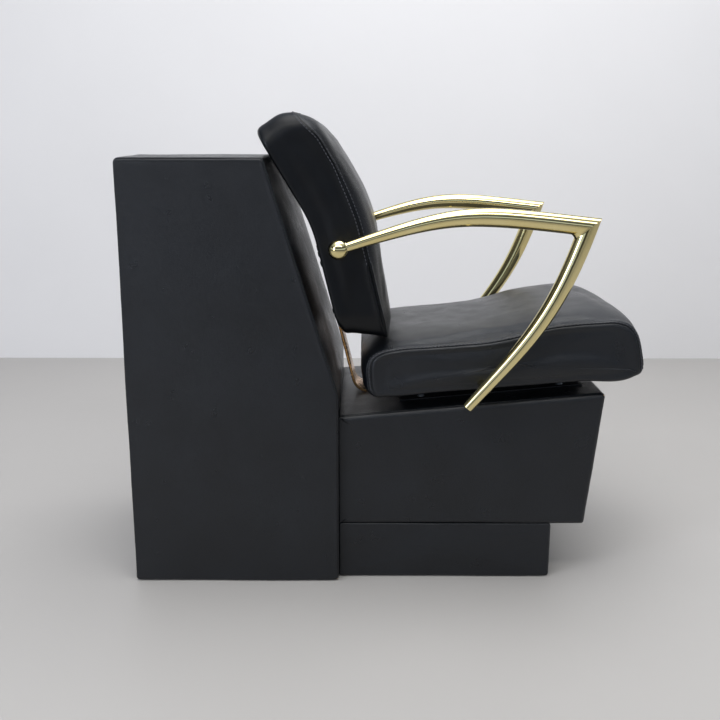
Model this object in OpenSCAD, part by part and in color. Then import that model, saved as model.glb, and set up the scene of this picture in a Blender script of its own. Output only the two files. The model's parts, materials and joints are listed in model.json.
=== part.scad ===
// Dryer chair for a salon: an upholstered cabinet that carries the hood dryer, a seat box
// in front of it, and a cushioned seat and back held by a flat bar and two tubular arms.
// Millimetres. +X is where the sitter faces, +Z is up, and Y = 0 is the middle of the chair.
// Inside the file X is counted from the cabinet's rear face, and placed() centres the whole.

/* [Cabinet] */
// Width of the cabinet over its cover
cab_w = 436; // [400:1:480]
// Height of the cabinet's top above the floor
cab_h = 770; // [740:1:800]
// Depth of the cabinet at the floor
cab_d = 376; // [350:1:400]
// How far the slope sets the cabinet's front back at the top
cab_set_back = 125; // [114:1:146]
// Height of the bend under the slope above the seat box's rear edge
cab_bend_rise = 46; // [30:1:60]

/* [Seat box] */
// How much narrower the seat box is than the cabinet, on each side
box_step = 18; // [12:1:24]
// Length of the seat box's top, measured level
box_l = 481; // [460:1:500]
// Height of the seat box's top where it meets the cabinet
box_rear_h = 312; // [300:1:325]
// Height of the seat box's underside
box_floor_z = 106; // [95:1:115]
// How far the front face's foot is set back from its head
box_front_rake = 27; // [10:1:40]
// Slope of the seat box's top, rising to the front
seat_tilt = 5.3; // [4:0.1:7]

/* [Plinth] */
// Length of the plinth, from the cabinet to its front
plinth_l = 393; // [360:1:410]
// How much narrower the plinth is than the seat box, on each side
plinth_step = 2; // [1:1:6]
// Radius of the rounded edge at the top of the plinth
plinth_edge_r = 5; // [2:0.5:8]

/* [Boards and covers] */
// Thickness of the plywood boards
board_t = 15; // [12:1:18]
// Thickness of the vinyl cover with its thin foam
cover_t = 3; // [2:0.5:4]
// Radius of the cover at the corners of the side view
cover_r = 5; // [3:0.5:8]
// Thickness of the cabinet's screwed-on back panel
back_panel_t = 6; // [4:1:9]
// Side of the square strips that the back panel is screwed to
cleat_a = 20; // [16:1:25]
// Side of the hardwood blocks in the bottom corners
block_a = 50; // [45:1:60]
// Height of the blocks in the cabinet's bottom corners
block_h = 45; // [40:1:60]
// Play round a panel or a pocket, on each side
play = 0.3; // [0.2:0.05:0.5]

/* [Levelling glides] */
// Diameter of a glide's foot
foot_d = 32; // [26:1:40]
// Thickness of a glide's foot, which is the gap under the boxes
foot_t = 3; // [3:0.5:5]
// Bevel round the foot's lower edge
foot_bevel = 0.8; // [0.4:0.1:1]
// Length of stud that stays past the socket when the glide is right out
stud_spare = 4; // [2:1:6]
// Diameter of the glide's stud and of the chair's bolts
bolt_d = 8; // [6:0.5:8]
// Travel of a glide when it is screwed out
glide_travel = 12; // [8:1:14]
// Length of the threaded socket that a glide turns in
socket_l = 18; // [16:1:20]

/* [Seat] */
// Height of the seat's underside above the seat box's top
seat_gap = 33; // [30:1:40]
// Distance from the cabinet to the seat cushion's side seam, along the slope
seat_x = 67; // [62:1:72]
// Length of the seat cushion's side panel along the slope
seat_l = 476; // [460:1:482]
// Half width of the seat cushion at its rear
seat_rear_hw = 208; // [200:1:215]
// Half width of the seat cushion at its front
seat_front_hw = 222; // [212:1:228]
// Height of the seat cushion's side panel over its rear part
seat_side_h = 82; // [74:1:86]
// Extra height of the side panel over the front roll
seat_roll_h = 18; // [8:1:22]
// Crown of the seat cushion above its side seam
seat_crown = 17; // [8:1:20]
// Bulge of the seat cushion's rear face behind the seam
seat_rear_bulge = 20; // [8:1:22]
// Bulge of the seat cushion's front face before the seam
seat_front_bulge = 9; // [4:1:12]
// Thickness of the plywood seat board
seat_board_t = 18; // [15:1:18]
// Thickness of the dust cloth under the seat
dust_t = 1.5; // [1:0.5:2]

/* [Seat rails] */
// Width of a rail's flanges
rail_w = 34; // [30:1:40]
// Thickness of a rail's steel
rail_t = 3; // [2:0.5:4]
// Length of a rail
rail_l = 340; // [300:1:360]
// Distance from the middle of the chair to a rail's web, per unit of the seat box's width
rail_y_share = 0.24; // [0.2:0.005:0.27]

/* [Backrest] */
// Distance from the cabinet's front to the foot of the backrest's rear face
back_ahead = 5; // [3:1:9]
// Height of that foot point above the seat box's rear edge
back_rise = 147; // [143:1:158]
// Distance from that foot point to the rear edge of the backrest's underside
back_foot = 4; // [0:1:10]
// Lean of the lower part of the backrest and of the flat bar
back_lean = 14; // [12:0.5:16]
// Further lean of the upper part
back_bend = 17; // [10:0.5:20]
// Length of the straight lower part
back_straight = 170; // [165:1:180]
// Radius of the bend between the two parts
back_bend_r = 220; // [180:5:260]
// Length of the backrest along its rear face
back_l = 386; // [370:1:400]
// Fall of the backrest's underside towards its front, per unit of depth
back_under_share = 0.36; // [0.1:0.02:0.5]
// Half width of the backrest at its bottom
back_low_hw = 214; // [200:1:218]
// Half width of the backrest at its top
back_top_hw = 204; // [190:1:210]
// Depth of the backrest's sides, from the rear edge to the seam
back_side_t = 80; // [70:1:88]
// Crown of the backrest before its seam
back_crown = 23; // [15:1:30]
// Corner radius of the backrest seen from the front
back_corner_r = 62; // [45:1:75]
// Thickness of the bent plywood board in the backrest
back_board_t = 12; // [10:1:15]
// Thickness of the covered panel on the rear of the backrest
rear_panel_t = 6; // [4:1:8]

/* [Flat bar] */
// Width of the flat bar
bar_w = 80; // [70:1:90]
// Thickness of the flat bar
bar_t = 5; // [4:0.5:8]
// Height of the bar's upper end along the backrest
bar_top_s = 152; // [142:1:160]
// Outer radius of the bar's bend
bar_bend_r = 32; // [26:1:36]
// Length of the bar's foot on the seat box, past the bend
bar_foot_l = 190; // [150:1:220]
// Height of the cap on the bar's upper end
bar_cap_h = 11; // [8:1:14]

/* [Arms] */
// Distance from the middle of the chair to the plane of an arm
arm_y = 252.5; // [248:0.5:262]
// Diameter of the arm tube at its mitred corner
arm_d = 32; // [28:1:34]
// Diameter of the upper tube where it enters the ball
arm_rear_d = 16; // [14:1:18]
// Diameter of the down tube at its free end
arm_low_d = 18.5; // [18:0.5:22]
// Wall of the arm tubes
arm_wall = 2; // [1.5:0.5:2.5]
// Diameter of the ball at the rear end of an arm
ball_d = 30; // [26:1:32]
// Distance of the ball's middle from the cabinet's front
ball_ahead = 3; // [-2:1:8]
// Height of the ball's middle above the seat box's rear edge
ball_rise = 307; // [300:1:312]
// Distance of the mitred corner's middle from the cabinet's front
corner_ahead = 420; // [404:1:429]
// Height of the mitred corner's middle above the seat box's rear edge
corner_rise = 346; // [333:1:356]
// Distance of the down tube's free end from the cabinet's front
low_ahead = 226; // [214:1:236]
// Height of the down tube's free end above the seat box's rear edge
low_rise = 32.5; // [23:0.5:43]
// Rise of the upper tube where it leaves the ball
arm_rise = 18; // [14:0.5:22]
// Fall of the upper tube where it meets the corner
arm_fall = 6.4; // [3:0.2:9]
// Steepness of the down tube at the corner, below the level
down_top_a = 72; // [66:0.5:78]
// Steepness of the down tube at its free end, below the level
down_low_a = 49; // [44:0.5:54]
// Diameter of the neck on the ball and of the boss on the down tube
boss_d = 16; // [14:1:16]

/* [Hidden] */

// Colours as the chair has them
vinyl = "#1b1c1f";
gold = "#d8c48a";
plywood = "#c9a873";
hardwood = "#b98f5c";
black_steel = "#2a2a2c";
zinc = "#b4b7ba";
cloth = "#101012";

// Smoothness of round parts, and overruns of cuts
fine = 48;
coarse = 32;
over = 1;
// Running play of a thread or stud in its hole, on the radius
thread_play = 0.05;
// Play of a bolt in a drilled board, on the radius
drill_play = 0.5;

// Sides of the chair: the sitter's right is at -Y
right = -1;
left = 1;

// Glue film between a cover and its boards
glue_t = 0.05;

// Fastener sizes that follow the bolt
head_d = 1.75 * bolt_d;
head_h = 0.55 * bolt_d;
nut_af = 1.6 * bolt_d;
nut_h = 0.8 * bolt_d;
insert_d = 1.5 * bolt_d;
head_top_share = 0.7;
nut_grip = 1.45 * nut_h;
screw_d = 4;
screw_head_d = 8;
screw_head_h = 2.5;
back_screw_shares = [0.08, 0.36, 0.64, 0.92];
hex_sides = 6;

// Cabinet outline in the side view, from the rear foot round to the rear head
cab_top_d = cab_d - cab_set_back;
cab_bend_z = box_rear_h + cab_bend_rise;
cab_outline = [[0, foot_t], [cab_d, foot_t], [cab_d, cab_bend_z], [cab_top_d, cab_h], [0, cab_h]];
cab_skin = [0, cover_t, cover_t, cover_t, cover_t];
cab_wood = [0, board_t, board_t, board_t, 0];
cab_boards = inset(cab_outline, cab_skin);
cab_hollow = inset(cab_outline, cab_skin + cab_wood);
cab_side_y = cab_w / 2 - cover_t - board_t;
cab_inner_w = 2 * cab_side_y;

// Seat box outline in the side view
box_w = cab_w - 2 * box_step;
box_front_x = cab_d + box_l;
box_front_h = box_rear_h + box_l * tan(seat_tilt);
box_outline = [
    [cab_d, box_floor_z],
    [box_front_x - box_front_rake, box_floor_z],
    [box_front_x, box_front_h],
    [cab_d, box_rear_h]
];
box_skin = [cover_t, cover_t, cover_t, 0];
box_wood = [board_t, board_t, board_t, board_t];
box_boards = inset(box_outline, box_skin);
box_hollow = inset(box_outline, box_skin + box_wood);
box_side_y = box_w / 2 - cover_t - board_t;
box_inner_w = 2 * box_side_y;

// Plinth: it stands under the seat box, on its own glides
plinth_w = box_w - 2 * plinth_step;
plinth_front_x = cab_d + plinth_l;
plinth_side_y = plinth_w / 2 - cover_t - board_t;
plinth_block_h = 55;
plinth_screw_y = plinth_side_y - 0.25 * block_a;
plinth_screw_x = [cab_d + block_a / 2, plinth_front_x - cover_t - board_t - 0.3 * block_a];
plinth_screw_l = 0.5 * plinth_block_h + cover_t + 0.6 * board_t;
plinth_screw_hole_l = 0.5 * plinth_block_h + cover_t + board_t;

// Places of the glides, from the outline of the box that each carries
glide_in = cover_t + board_t + block_a / 2;
glide_rear_x = back_panel_t + cleat_a + block_a / 2;
glide_middle_x = cab_d - glide_in;
glide_front_x = plinth_front_x - glide_in;
glide_cab_y = cab_w / 2 - glide_in;
glide_plinth_y = plinth_w / 2 - glide_in;
stud_l = socket_l + glide_travel + stud_spare;
socket_d = 12;
socket_flange_d = 22;
socket_flange_t = 1.5;

// Bolts that join the seat box to the cabinet
join_y = 0.35 * box_w;
join_z = [for (share = [0.27, 0.73]) box_floor_z + share * (box_rear_h - box_floor_z)];
join_stack = 2 * board_t + cover_t;

// Seat cushion, in the frame of the seat box's sloping top
seat_under = seat_gap;
seat_front_x = seat_x + seat_l;
seat_rear_round = 32;
seat_front_round = 26;
seat_foot_round = 7;
seat_front_lean = 9;
seat_roll_start_share = 0.44;
seat_roll_end_share = 0.72;
seat_nose_h = 12;
seat_side_pull = 3;
seat_ring_shares = [0, 0.35, 0.62, 0.8, 0.9, 0.95, 0.98, 1];
seat_side_rings = [[0.6, 1], [0.93, 0.4]];
seat_crown_power = 4;
seat_end_power = 14;
board_edge = 24;
seat_board_hw = seat_rear_hw - board_edge;
seat_board_x0 = seat_x + board_edge;
seat_board_x1 = seat_front_x - board_edge;
dust_edge = 12;

// Rails between the seat box and the seat board
rail_h = seat_gap - dust_t;
rail_y = rail_y_share * box_w;
rail_x0 = seat_board_x0 + board_edge;
rail_bolt_in = 40;
rail_bolt_x = [rail_x0 + rail_bolt_in, rail_x0 + rail_l - rail_bolt_in];
rail_bolt_y = rail_y + rail_t + (rail_w - rail_t) / 2;
seat_bolt_grip = 14;

// Flat bar: its front face lies on the backrest's rear panel
bar_front_n = -rear_panel_t;
bar_rear_n = bar_front_n - bar_t;
bar_bolt_in = 17;
bar_bolt_pitch = 19;
bar_bolt_y = 0.3 * bar_w;
bar_bolt_s = [back_foot + bar_bolt_in, bar_top_s - bar_bolt_in - bar_bolt_pitch, bar_top_s - bar_bolt_in];
bar_cap_wall = 2.5;
bar_cap_grip = bar_cap_h - bar_cap_wall;
bar_foot_bolt_y = 22;
bar_foot_bolt_x = [0.45 * bar_foot_l, 0.85 * bar_foot_l];

// Where the bar's rear face, going down, meets the seat box's top
back_x = cab_d + back_ahead;
back_z = box_rear_h + back_rise;
bar_rear_low = [
    back_x + bar_rear_n * cos(back_lean),
    back_z + bar_rear_n * sin(back_lean)
];
bar_heel = meet(bar_rear_low, -dir(90 + back_lean), [cab_d, box_rear_h], dir(seat_tilt));
bar_heel_x = over_box(bar_heel)[0];

// Backrest: the rings of its cushion are an inset as a share of the edge's radius,
// then a depth as a share of the side's, and on the crown a share of the outline
back_edge_r = 4;
back_rear_shares = [0.4, 0.75];
back_side_steps = [[1, 0], [0.3, 0.03], [0, 0.1], [0.5, 0.5], [0, 0.9], [0.3, 0.97]];
back_crown_shares = [1, 0.985, 0.95, 0.9, 0.8, 0.65, 0.4];
back_low_s = back_foot;
back_high_s = back_l + back_foot;
back_mid_s = (back_low_s + back_high_s) / 2;
back_board_edge = 8;
rear_panel_edge = 18;
rear_panel_low_edge = 9;
back_pull = 3;
side_points = 6;
back_crown_power = 8;
back_bend_steps = 8;
back_under_run = 95;
back_top_run = 110;
back_top_flat = 40;
back_top_round = 150;
back_top_bulge = 7;
back_belly = 8;
back_belly_s = [200, 280];
back_top_pull = 5;
back_top_pull_s = [320, 385];
back_board_hw = back_top_hw - back_board_edge;

// The ball's place in the chair, and in the frame of the backrest
ball_x = cab_d + ball_ahead;
ball_z = box_rear_h + ball_rise;
ball_s = -(ball_x - back_x) * sin(back_lean) + (ball_z - back_z) * cos(back_lean);
ball_n = (ball_x - back_x) * cos(back_lean) + (ball_z - back_z) * sin(back_lean);
ball_socket = 6;
ball_bolt_l = 60;
side_block_w = 44;
side_block_reach = 28;
side_block_s = [ball_s - side_block_reach, min(ball_s + side_block_reach, back_straight)];
side_block_depth = 58;

// Arm curves: end points, directions and the reach of each direction as a share of the span
corner_x = cab_d + corner_ahead;
corner_z = box_rear_h + corner_rise;
low_x = cab_d + low_ahead;
low_z = box_rear_h + low_rise;
arm_span = norm([corner_x - ball_x, corner_z - ball_z]);
down_span = norm([corner_x - low_x, corner_z - low_z]);
arm_reach_share = 0.5;
down_reach_share = 0.43;
ball_p = [ball_x, ball_z];
corner_p = [corner_x, corner_z];
low_p = [low_x, low_z];
upper_curve = [
    ball_p,
    ball_p + arm_reach_share * arm_span * dir(arm_rise),
    corner_p - arm_reach_share * arm_span * dir(-arm_fall),
    corner_p
];
down_curve = [
    corner_p,
    corner_p - down_reach_share * down_span * dir(down_top_a),
    low_p + down_reach_share * down_span * dir(down_low_a),
    low_p
];
mitre_a = 180 + (down_top_a - arm_fall) / 2;
taper_share = 0.68;
taper_power = 1.35;
low_taper_power = 1.5;
arm_rings = 18;
arm_sides = 20;
mitre_run = 1.2 * arm_d;
end_plug_t = 3;

// The boss on the down tube meets the edge of the seat board
boss_h = seat_under + seat_board_t / 2;
boss_x = over_box(bezier(down_curve, share_at(boss_h, 0, 1, 24)))[0];
barrel_in = 22;
barrel_d = 10;
barrel_h = 13;
seat_stud_l = 42;

// Whole chair
seat_nose_x = seat_front_x + seat_front_bulge;
overall_l = cab_d + seat_nose_x * cos(seat_tilt) - (seat_under + seat_nose_h) * sin(seat_tilt);

// Unit direction at an angle above the +X direction
function dir(a) = [cos(a), sin(a)];
// Where the line through a along u meets the line through b along v
function meet(a, u, b, v) =
    let (k = cross(b - a, v) / cross(u, v))
    a + k * u;
// Point on a curve with four control points
function bezier(c, t) =
    pow(1 - t, 3) * c[0] + 3 * pow(1 - t, 2) * t * c[1] + 3 * (1 - t) * t * t * c[2] + t * t * t * c[3];
// A point of the side view in the frame of the seat box's top: along it and above it
function over_box(p) =
    let (d = p - [cab_d, box_rear_h])
    [d * dir(seat_tilt), d * dir(90 + seat_tilt)];
// Share of the down tube's curve at which it is h above the seat box's top
function share_at(h, a, b, n) =
    let (m = (a + b) / 2)
    n == 0 ? m : over_box(bezier(down_curve, m))[1] > h ? share_at(h, m, b, n - 1) : share_at(h, a, m, n - 1);
// Direction of that curve
function bezier_dir(c, t) =
    let (d = pow(1 - t, 2) * (c[1] - c[0]) + 2 * (1 - t) * t * (c[2] - c[1]) + t * t * (c[3] - c[2]))
    d / norm(d);
// Smooth step from 0 to 1 between a and b
function ease(x, a, b) =
    let (t = min(1, max(0, (x - a) / (b - a))))
    t * t * (3 - 2 * t);
// Points of an arc in a plane
function arc(c, r, a0, a1, n) = [for (i = [0 : n]) c + r * dir(a0 + (a1 - a0) * i / n)];
// A counter-clockwise outline moved inwards, edge by edge
function edge_dir(pts, i) =
    let (d = pts[(i + 1) % len(pts)] - pts[i])
    d / norm(d);
function inset(pts, by) =
    [
        for (i = [0 : len(pts) - 1])
        let (
            j = (i + len(pts) - 1) % len(pts),
            u = edge_dir(pts, j),
            v = edge_dir(pts, i)
        )
        meet(pts[i] + by[j] * [-u[1], u[0]], u, pts[i] + by[i] * [-v[1], v[0]], v)
    ];
// An outline with its corners rounded, each by its own radius
function rounded(pts, radii, n) =
    [
        for (i = [0 : len(pts) - 1])
        let (
            j = (i + len(pts) - 1) % len(pts),
            u = edge_dir(pts, j),
            v = edge_dir(pts, i),
            turn = atan2(cross(u, v), u * v),
            back = radii[i] * tan(turn / 2),
            c = pts[i] - back * u + radii[i] * [-u[1], u[0]],
            a0 = atan2(-u[0], u[1])
        )
        for (p = radii[i] > 0 ? arc(c, radii[i], a0, a0 + turn, n) : [pts[i]]) p
    ];

// Backrest frame: a point at s along the rear face and n in front of it
function back_turn(s) =
    s < back_straight ? 0 : min(back_bend, (s - back_straight) / back_bend_r * 180 / PI);
function back_arc_l() = back_bend_r * back_bend * PI / 180;
function back_point(s, n) =
    let (
        a = back_turn(s),
        past = max(0, s - back_straight - back_arc_l()),
        base = s < back_straight
            ? [0, s]
            : [back_bend_r * (cos(a) - 1), back_straight + back_bend_r * sin(a)] + past * [-sin(a), cos(a)]
    )
    base + n * dir(a);

// Faces of a closed skin of rings with a point at each end
function skin_faces(rings, n) =
    let (last = rings * n + 1)
    concat(
        [for (j = [0 : n - 1]) [0, 1 + j, 1 + (j + 1) % n]],
        [
            for (i = [0 : rings - 2])
            for (j = [0 : n - 1])
            let (
                a = 1 + i * n + j,
                b = 1 + i * n + (j + 1) % n
            )
            for (f = [[a, a + n, b + n], [a, b + n, b]]) f
        ],
        [for (j = [0 : n - 1]) [last, 1 + (rings - 1) * n + (j + 1) % n, 1 + (rings - 1) * n + j]]
    );
module skin(rings, first, final) {
    points = concat([first], [for (r = rings) for (p = r) p], [final]);
    polyhedron(points, skin_faces(len(rings), len(rings[0])), convexity = 6);
}

// Puts the whole chair over the middle of its own floor plan
module placed() {
    translate([-overall_l / 2, 0, 0]) children();
}
// Frame of the seat box's top: X up the slope, Z square to it
module on_seat_box() {
    translate([cab_d, 0, box_rear_h]) rotate([0, -seat_tilt, 0]) children();
}
// Frame of the backrest: X forwards from its rear face, Z up along it
module on_backrest() {
    translate([back_x, 0, back_z]) rotate([0, -back_lean, 0]) children();
}
// A side-view outline made w wide, about the middle or from y towards +Y
module across(pts, w) {
    rotate([90, 0, 0]) linear_extrude(w, center = true) polygon(pts);
}
module slab_at(pts, y, t) {
    translate([0, y + t / 2, 0]) across(pts, t);
}
// A side board: side is right or left, inner is the distance of its inner face
module side_board(pts, side, inner) {
    slab_at(pts, side > 0 ? inner : -inner - board_t, board_t);
}
module both_sides() {
    children();
    mirror([0, 1, 0]) children();
}

// Bolt with its head's seat at the origin and its shank going down
module bolt(l) {
    translate([0, 0, -l]) cylinder(d = bolt_d, h = l + head_h / 2, $fn = fine);
    cylinder(d1 = head_d, d2 = head_top_share * head_d, h = head_h, $fn = fine);
}
module nut() {
    difference() {
        cylinder(d = nut_af / cos(180 / hex_sides), h = nut_h, $fn = hex_sides);
        translate([0, 0, -over]) cylinder(r = bolt_d / 2 + thread_play, h = nut_h + 2 * over, $fn = fine);
    }
}
module bolt_hole(l) {
    translate([0, 0, -l]) cylinder(r = bolt_d / 2 + drill_play, h = l + over, $fn = fine);
}
module insert(l) {
    difference() {
        cylinder(d = insert_d, h = l, $fn = fine);
        translate([0, 0, -over]) cylinder(r = bolt_d / 2 + thread_play, h = l + 2 * over, $fn = fine);
    }
}
module insert_hole(l) {
    translate([0, 0, -over]) cylinder(r = insert_d / 2 + thread_play, h = l + over, $fn = fine);
}
module screw(l) {
    translate([0, 0, -l]) cylinder(d = screw_d, h = l + screw_head_h / 2, $fn = coarse);
    cylinder(d = screw_head_d, h = screw_head_h, $fn = coarse);
}
module screw_hole(l) {
    translate([0, 0, -l]) cylinder(r = screw_d / 2 + thread_play, h = l + over, $fn = coarse);
}

// Places
module at_joining_bolts() {
    for (y = [-join_y, join_y])
        for (z = join_z)
            translate([cab_d + board_t, y, z]) rotate([0, 90, 0]) children();
}
module at_cab_glides() {
    for (x = [glide_rear_x, glide_middle_x])
        for (y = [-glide_cab_y, glide_cab_y])
            translate([x, y, foot_t]) children();
}
module at_plinth_glides() {
    for (y = [-glide_plinth_y, glide_plinth_y])
        translate([glide_front_x, y, foot_t]) children();
}
module at_back_screws() {
    y = cab_side_y - cleat_a / 2;
    tall = cab_h - foot_t - board_t - cover_t;
    for (side = [right, left])
        for (share = back_screw_shares)
            translate([screw_head_h, side * y, foot_t + share * tall]) rotate([0, -90, 0]) children();
}
module at_rail_bolts() {
    for (x = rail_bolt_x)
        for (side = [right, left])
            translate([x, side * rail_bolt_y, 0]) children();
}
module at_bar_foot_bolts() {
    for (x = bar_foot_bolt_x)
        for (side = [right, left])
            translate([bar_heel_x + x, side * bar_foot_bolt_y, 0]) children();
}
module at_bar_bolts() {
    for (s = bar_bolt_s)
        for (side = [right, left])
            translate([0, side * bar_bolt_y, s]) rotate([0, -90, 0]) children();
}
module at_plinth_screws() {
    for (x = plinth_screw_x)
        for (side = [right, left])
            translate([x, side * plinth_screw_y, box_floor_z - 0.5 * plinth_block_h])
                rotate([180, 0, 0]) children();
}

// Holes through the seat box's top, board and cover alike
module box_top_holes() {
    on_seat_box() {
        at_rail_bolts() bolt_hole(cover_t + board_t + over);
        at_bar_foot_bolts() bolt_hole(cover_t + board_t + over);
    }
}

// Cabinet
module cabinet_side(side) {
    color(plywood) side_board(cab_boards, side, cab_side_y);
}
module cabinet_board(i) {
    j = i + 1;
    rear = back_panel_t + play;
    a = cab_boards[i];
    b = cab_boards[j];
    intersection() {
        across([a, b, cab_hollow[j], cab_hollow[i]], cab_inner_w);
        translate([rear, -cab_w / 2, 0]) cube([cab_d, cab_w, cab_h]);
    }
}
module cabinet_right_side() { cabinet_side(right); }
module cabinet_left_side() { cabinet_side(left); }
module cabinet_front() {
    color(plywood) difference() {
        cabinet_board(1);
        at_joining_bolts() bolt_hole(join_stack + over);
    }
}
module cabinet_slope() {
    color(plywood) cabinet_board(2);
}
module cabinet_top() {
    color(plywood) cabinet_board(3);
}
module cabinet_corner_blocks() {
    color(hardwood) difference() {
        for (x = [glide_rear_x, glide_middle_x])
            for (y = [-glide_cab_y, glide_cab_y])
                translate([x - block_a / 2, y - block_a / 2, foot_t]) cube([block_a, block_a, block_h]);
        at_cab_glides() socket_recess();
    }
}
module cabinet_cleats() {
    color(hardwood) both_sides() difference() {
        translate([back_panel_t, cab_side_y - cleat_a, foot_t])
            cube([cleat_a, cleat_a, cab_h - foot_t - cover_t - board_t]);
        at_back_screws() screw_hole(back_panel_t + cleat_a - over);
    }
}
module cabinet_back_panel() {
    wide = cab_inner_w - 2 * play;
    tall = cab_h - foot_t - cover_t - board_t - play;
    color(vinyl) difference() {
        translate([0, -wide / 2, foot_t]) cube([back_panel_t, wide, tall]);
        at_back_screws() {
            screw_hole(back_panel_t + over);
            cylinder(r = screw_head_d / 2 + thread_play, h = screw_head_h + over, $fn = coarse);
        }
    }
}
module back_panel_screws() {
    color(black_steel) at_back_screws() screw(back_panel_t + cleat_a / 2);
}
module cabinet_cover() {
    outer = rounded(cab_outline, [0, 0, cover_r, cover_r, cover_r], 6);
    film = cover_t - glue_t;
    inner = inset(cab_outline, [-over, film, film, film, film]);
    wide = cab_inner_w;
    color(vinyl) difference() {
        across(outer, cab_w);
        across(inner, cab_w - 2 * film);
        translate([-over, -wide / 2, 0]) cube([2 * cover_t + over, wide, cab_h - cover_t - board_t]);
        at_joining_bolts() bolt_hole(join_stack + over);
    }
}

// Seat box
module seat_box_side(side) {
    color(plywood) side_board(box_boards, side, box_side_y);
}
module seat_box_board(i) {
    j = (i + 1) % 4;
    across([box_boards[i], box_boards[j], box_hollow[j], box_hollow[i]], box_inner_w);
}
module seat_box_right_side() { seat_box_side(right); }
module seat_box_left_side() { seat_box_side(left); }
module seat_box_bottom() {
    color(plywood) difference() {
        seat_box_board(0);
        at_plinth_screws() screw_hole(plinth_screw_hole_l + over);
    }
}
module seat_box_front() {
    color(plywood) seat_box_board(1);
}
module seat_box_top() {
    color(plywood) difference() {
        seat_box_board(2);
        box_top_holes();
    }
}
module seat_box_rear() {
    color(plywood) difference() {
        seat_box_board(3);
        at_joining_bolts() bolt_hole(join_stack + over);
    }
}
module seat_box_cover() {
    outer = rounded(box_outline, [0, cover_r, cover_r, 0], 6);
    film = cover_t - glue_t;
    inner = inset(box_outline, [film, film, film, -over]);
    color(vinyl) difference() {
        across(outer, box_w);
        across(inner, box_w - 2 * film);
        box_top_holes();
        at_plinth_screws() screw_hole(plinth_screw_hole_l + over);
    }
}
module box_joining_bolts() {
    color(zinc) at_joining_bolts() bolt(join_stack + nut_grip);
}
module box_joining_nuts() {
    color(zinc) at_joining_bolts() translate([0, 0, -join_stack - nut_h]) nut();
}

// Plinth
function plinth_span(x1) = [[cab_d, foot_t], [x1, foot_t], [x1, box_floor_z], [cab_d, box_floor_z]];
module plinth_side(side) {
    color(plywood) side_board(plinth_span(plinth_front_x - cover_t), side, plinth_side_y);
}
module plinth_right_side() { plinth_side(right); }
module plinth_left_side() { plinth_side(left); }
module plinth_front() {
    x = plinth_front_x - cover_t - board_t;
    color(plywood) translate([x, -plinth_side_y, foot_t])
        cube([board_t, 2 * plinth_side_y, box_floor_z - foot_t]);
}
module plinth_corner_blocks() {
    front_x = plinth_front_x - cover_t - board_t - block_a;
    low = box_floor_z - plinth_block_h;
    color(hardwood) difference() {
        union() {
            both_sides() {
                translate([cab_d, plinth_side_y - block_a, low]) cube([block_a, block_a, plinth_block_h]);
                translate([front_x, plinth_side_y - block_a, foot_t])
                    cube([block_a, block_a, box_floor_z - foot_t]);
            }
        }
        at_plinth_glides() socket_recess();
        at_plinth_screws() {
            screw_hole(plinth_block_h);
            cylinder(d = screw_head_d + over, h = plinth_block_h, $fn = coarse);
        }
    }
}
module plinth_screws() {
    color(zinc) at_plinth_screws() screw(plinth_screw_l);
}
module plinth_cover() {
    outer = rounded(plinth_span(plinth_front_x), [0, 0, plinth_edge_r, 0], 6);
    film = cover_t - glue_t;
    inner = [
        [cab_d - over, 0],
        [plinth_front_x - film, 0],
        [plinth_front_x - film, box_floor_z + over],
        [cab_d - over, box_floor_z + over]
    ];
    color(vinyl) difference() {
        across(outer, plinth_w);
        across(inner, plinth_w - 2 * film);
    }
}

// Levelling glides and the threaded sockets they turn in
module socket_recess() {
    cylinder(r = socket_d / 2 + thread_play, h = socket_l, $fn = fine);
    translate([0, 0, -over])
        cylinder(r = socket_flange_d / 2 + thread_play, h = socket_flange_t + over, $fn = fine);
    cylinder(r = bolt_d / 2 + drill_play, h = stud_l + over, $fn = fine);
}
module glide_socket() {
    difference() {
        union() {
            cylinder(d = socket_d, h = socket_l, $fn = fine);
            cylinder(d = socket_flange_d, h = socket_flange_t, $fn = fine);
        }
        translate([0, 0, -over]) cylinder(r = bolt_d / 2 + thread_play, h = socket_l + 2 * over, $fn = fine);
    }
}
module glide_sockets() {
    color(zinc) {
        at_cab_glides() glide_socket();
        at_plinth_glides() glide_socket();
    }
}
module glide(x, y) {
    color(black_steel) translate([x, y, 0]) rotate_extrude($fn = fine) polygon([
        [0, 0],
        [foot_d / 2 - foot_bevel, 0],
        [foot_d / 2, foot_bevel],
        [foot_d / 2, foot_t],
        [bolt_d / 2, foot_t],
        [bolt_d / 2, foot_t + stud_l - foot_bevel],
        [bolt_d / 2 - foot_bevel, foot_t + stud_l],
        [0, foot_t + stud_l]
    ]);
}
module glide_rear_right() { glide(glide_rear_x, -glide_cab_y); }
module glide_rear_left() { glide(glide_rear_x, glide_cab_y); }
module glide_middle_right() { glide(glide_middle_x, -glide_cab_y); }
module glide_middle_left() { glide(glide_middle_x, glide_cab_y); }
module glide_front_right() { glide(glide_front_x, -glide_plinth_y); }
module glide_front_left() { glide(glide_front_x, glide_plinth_y); }

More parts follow.
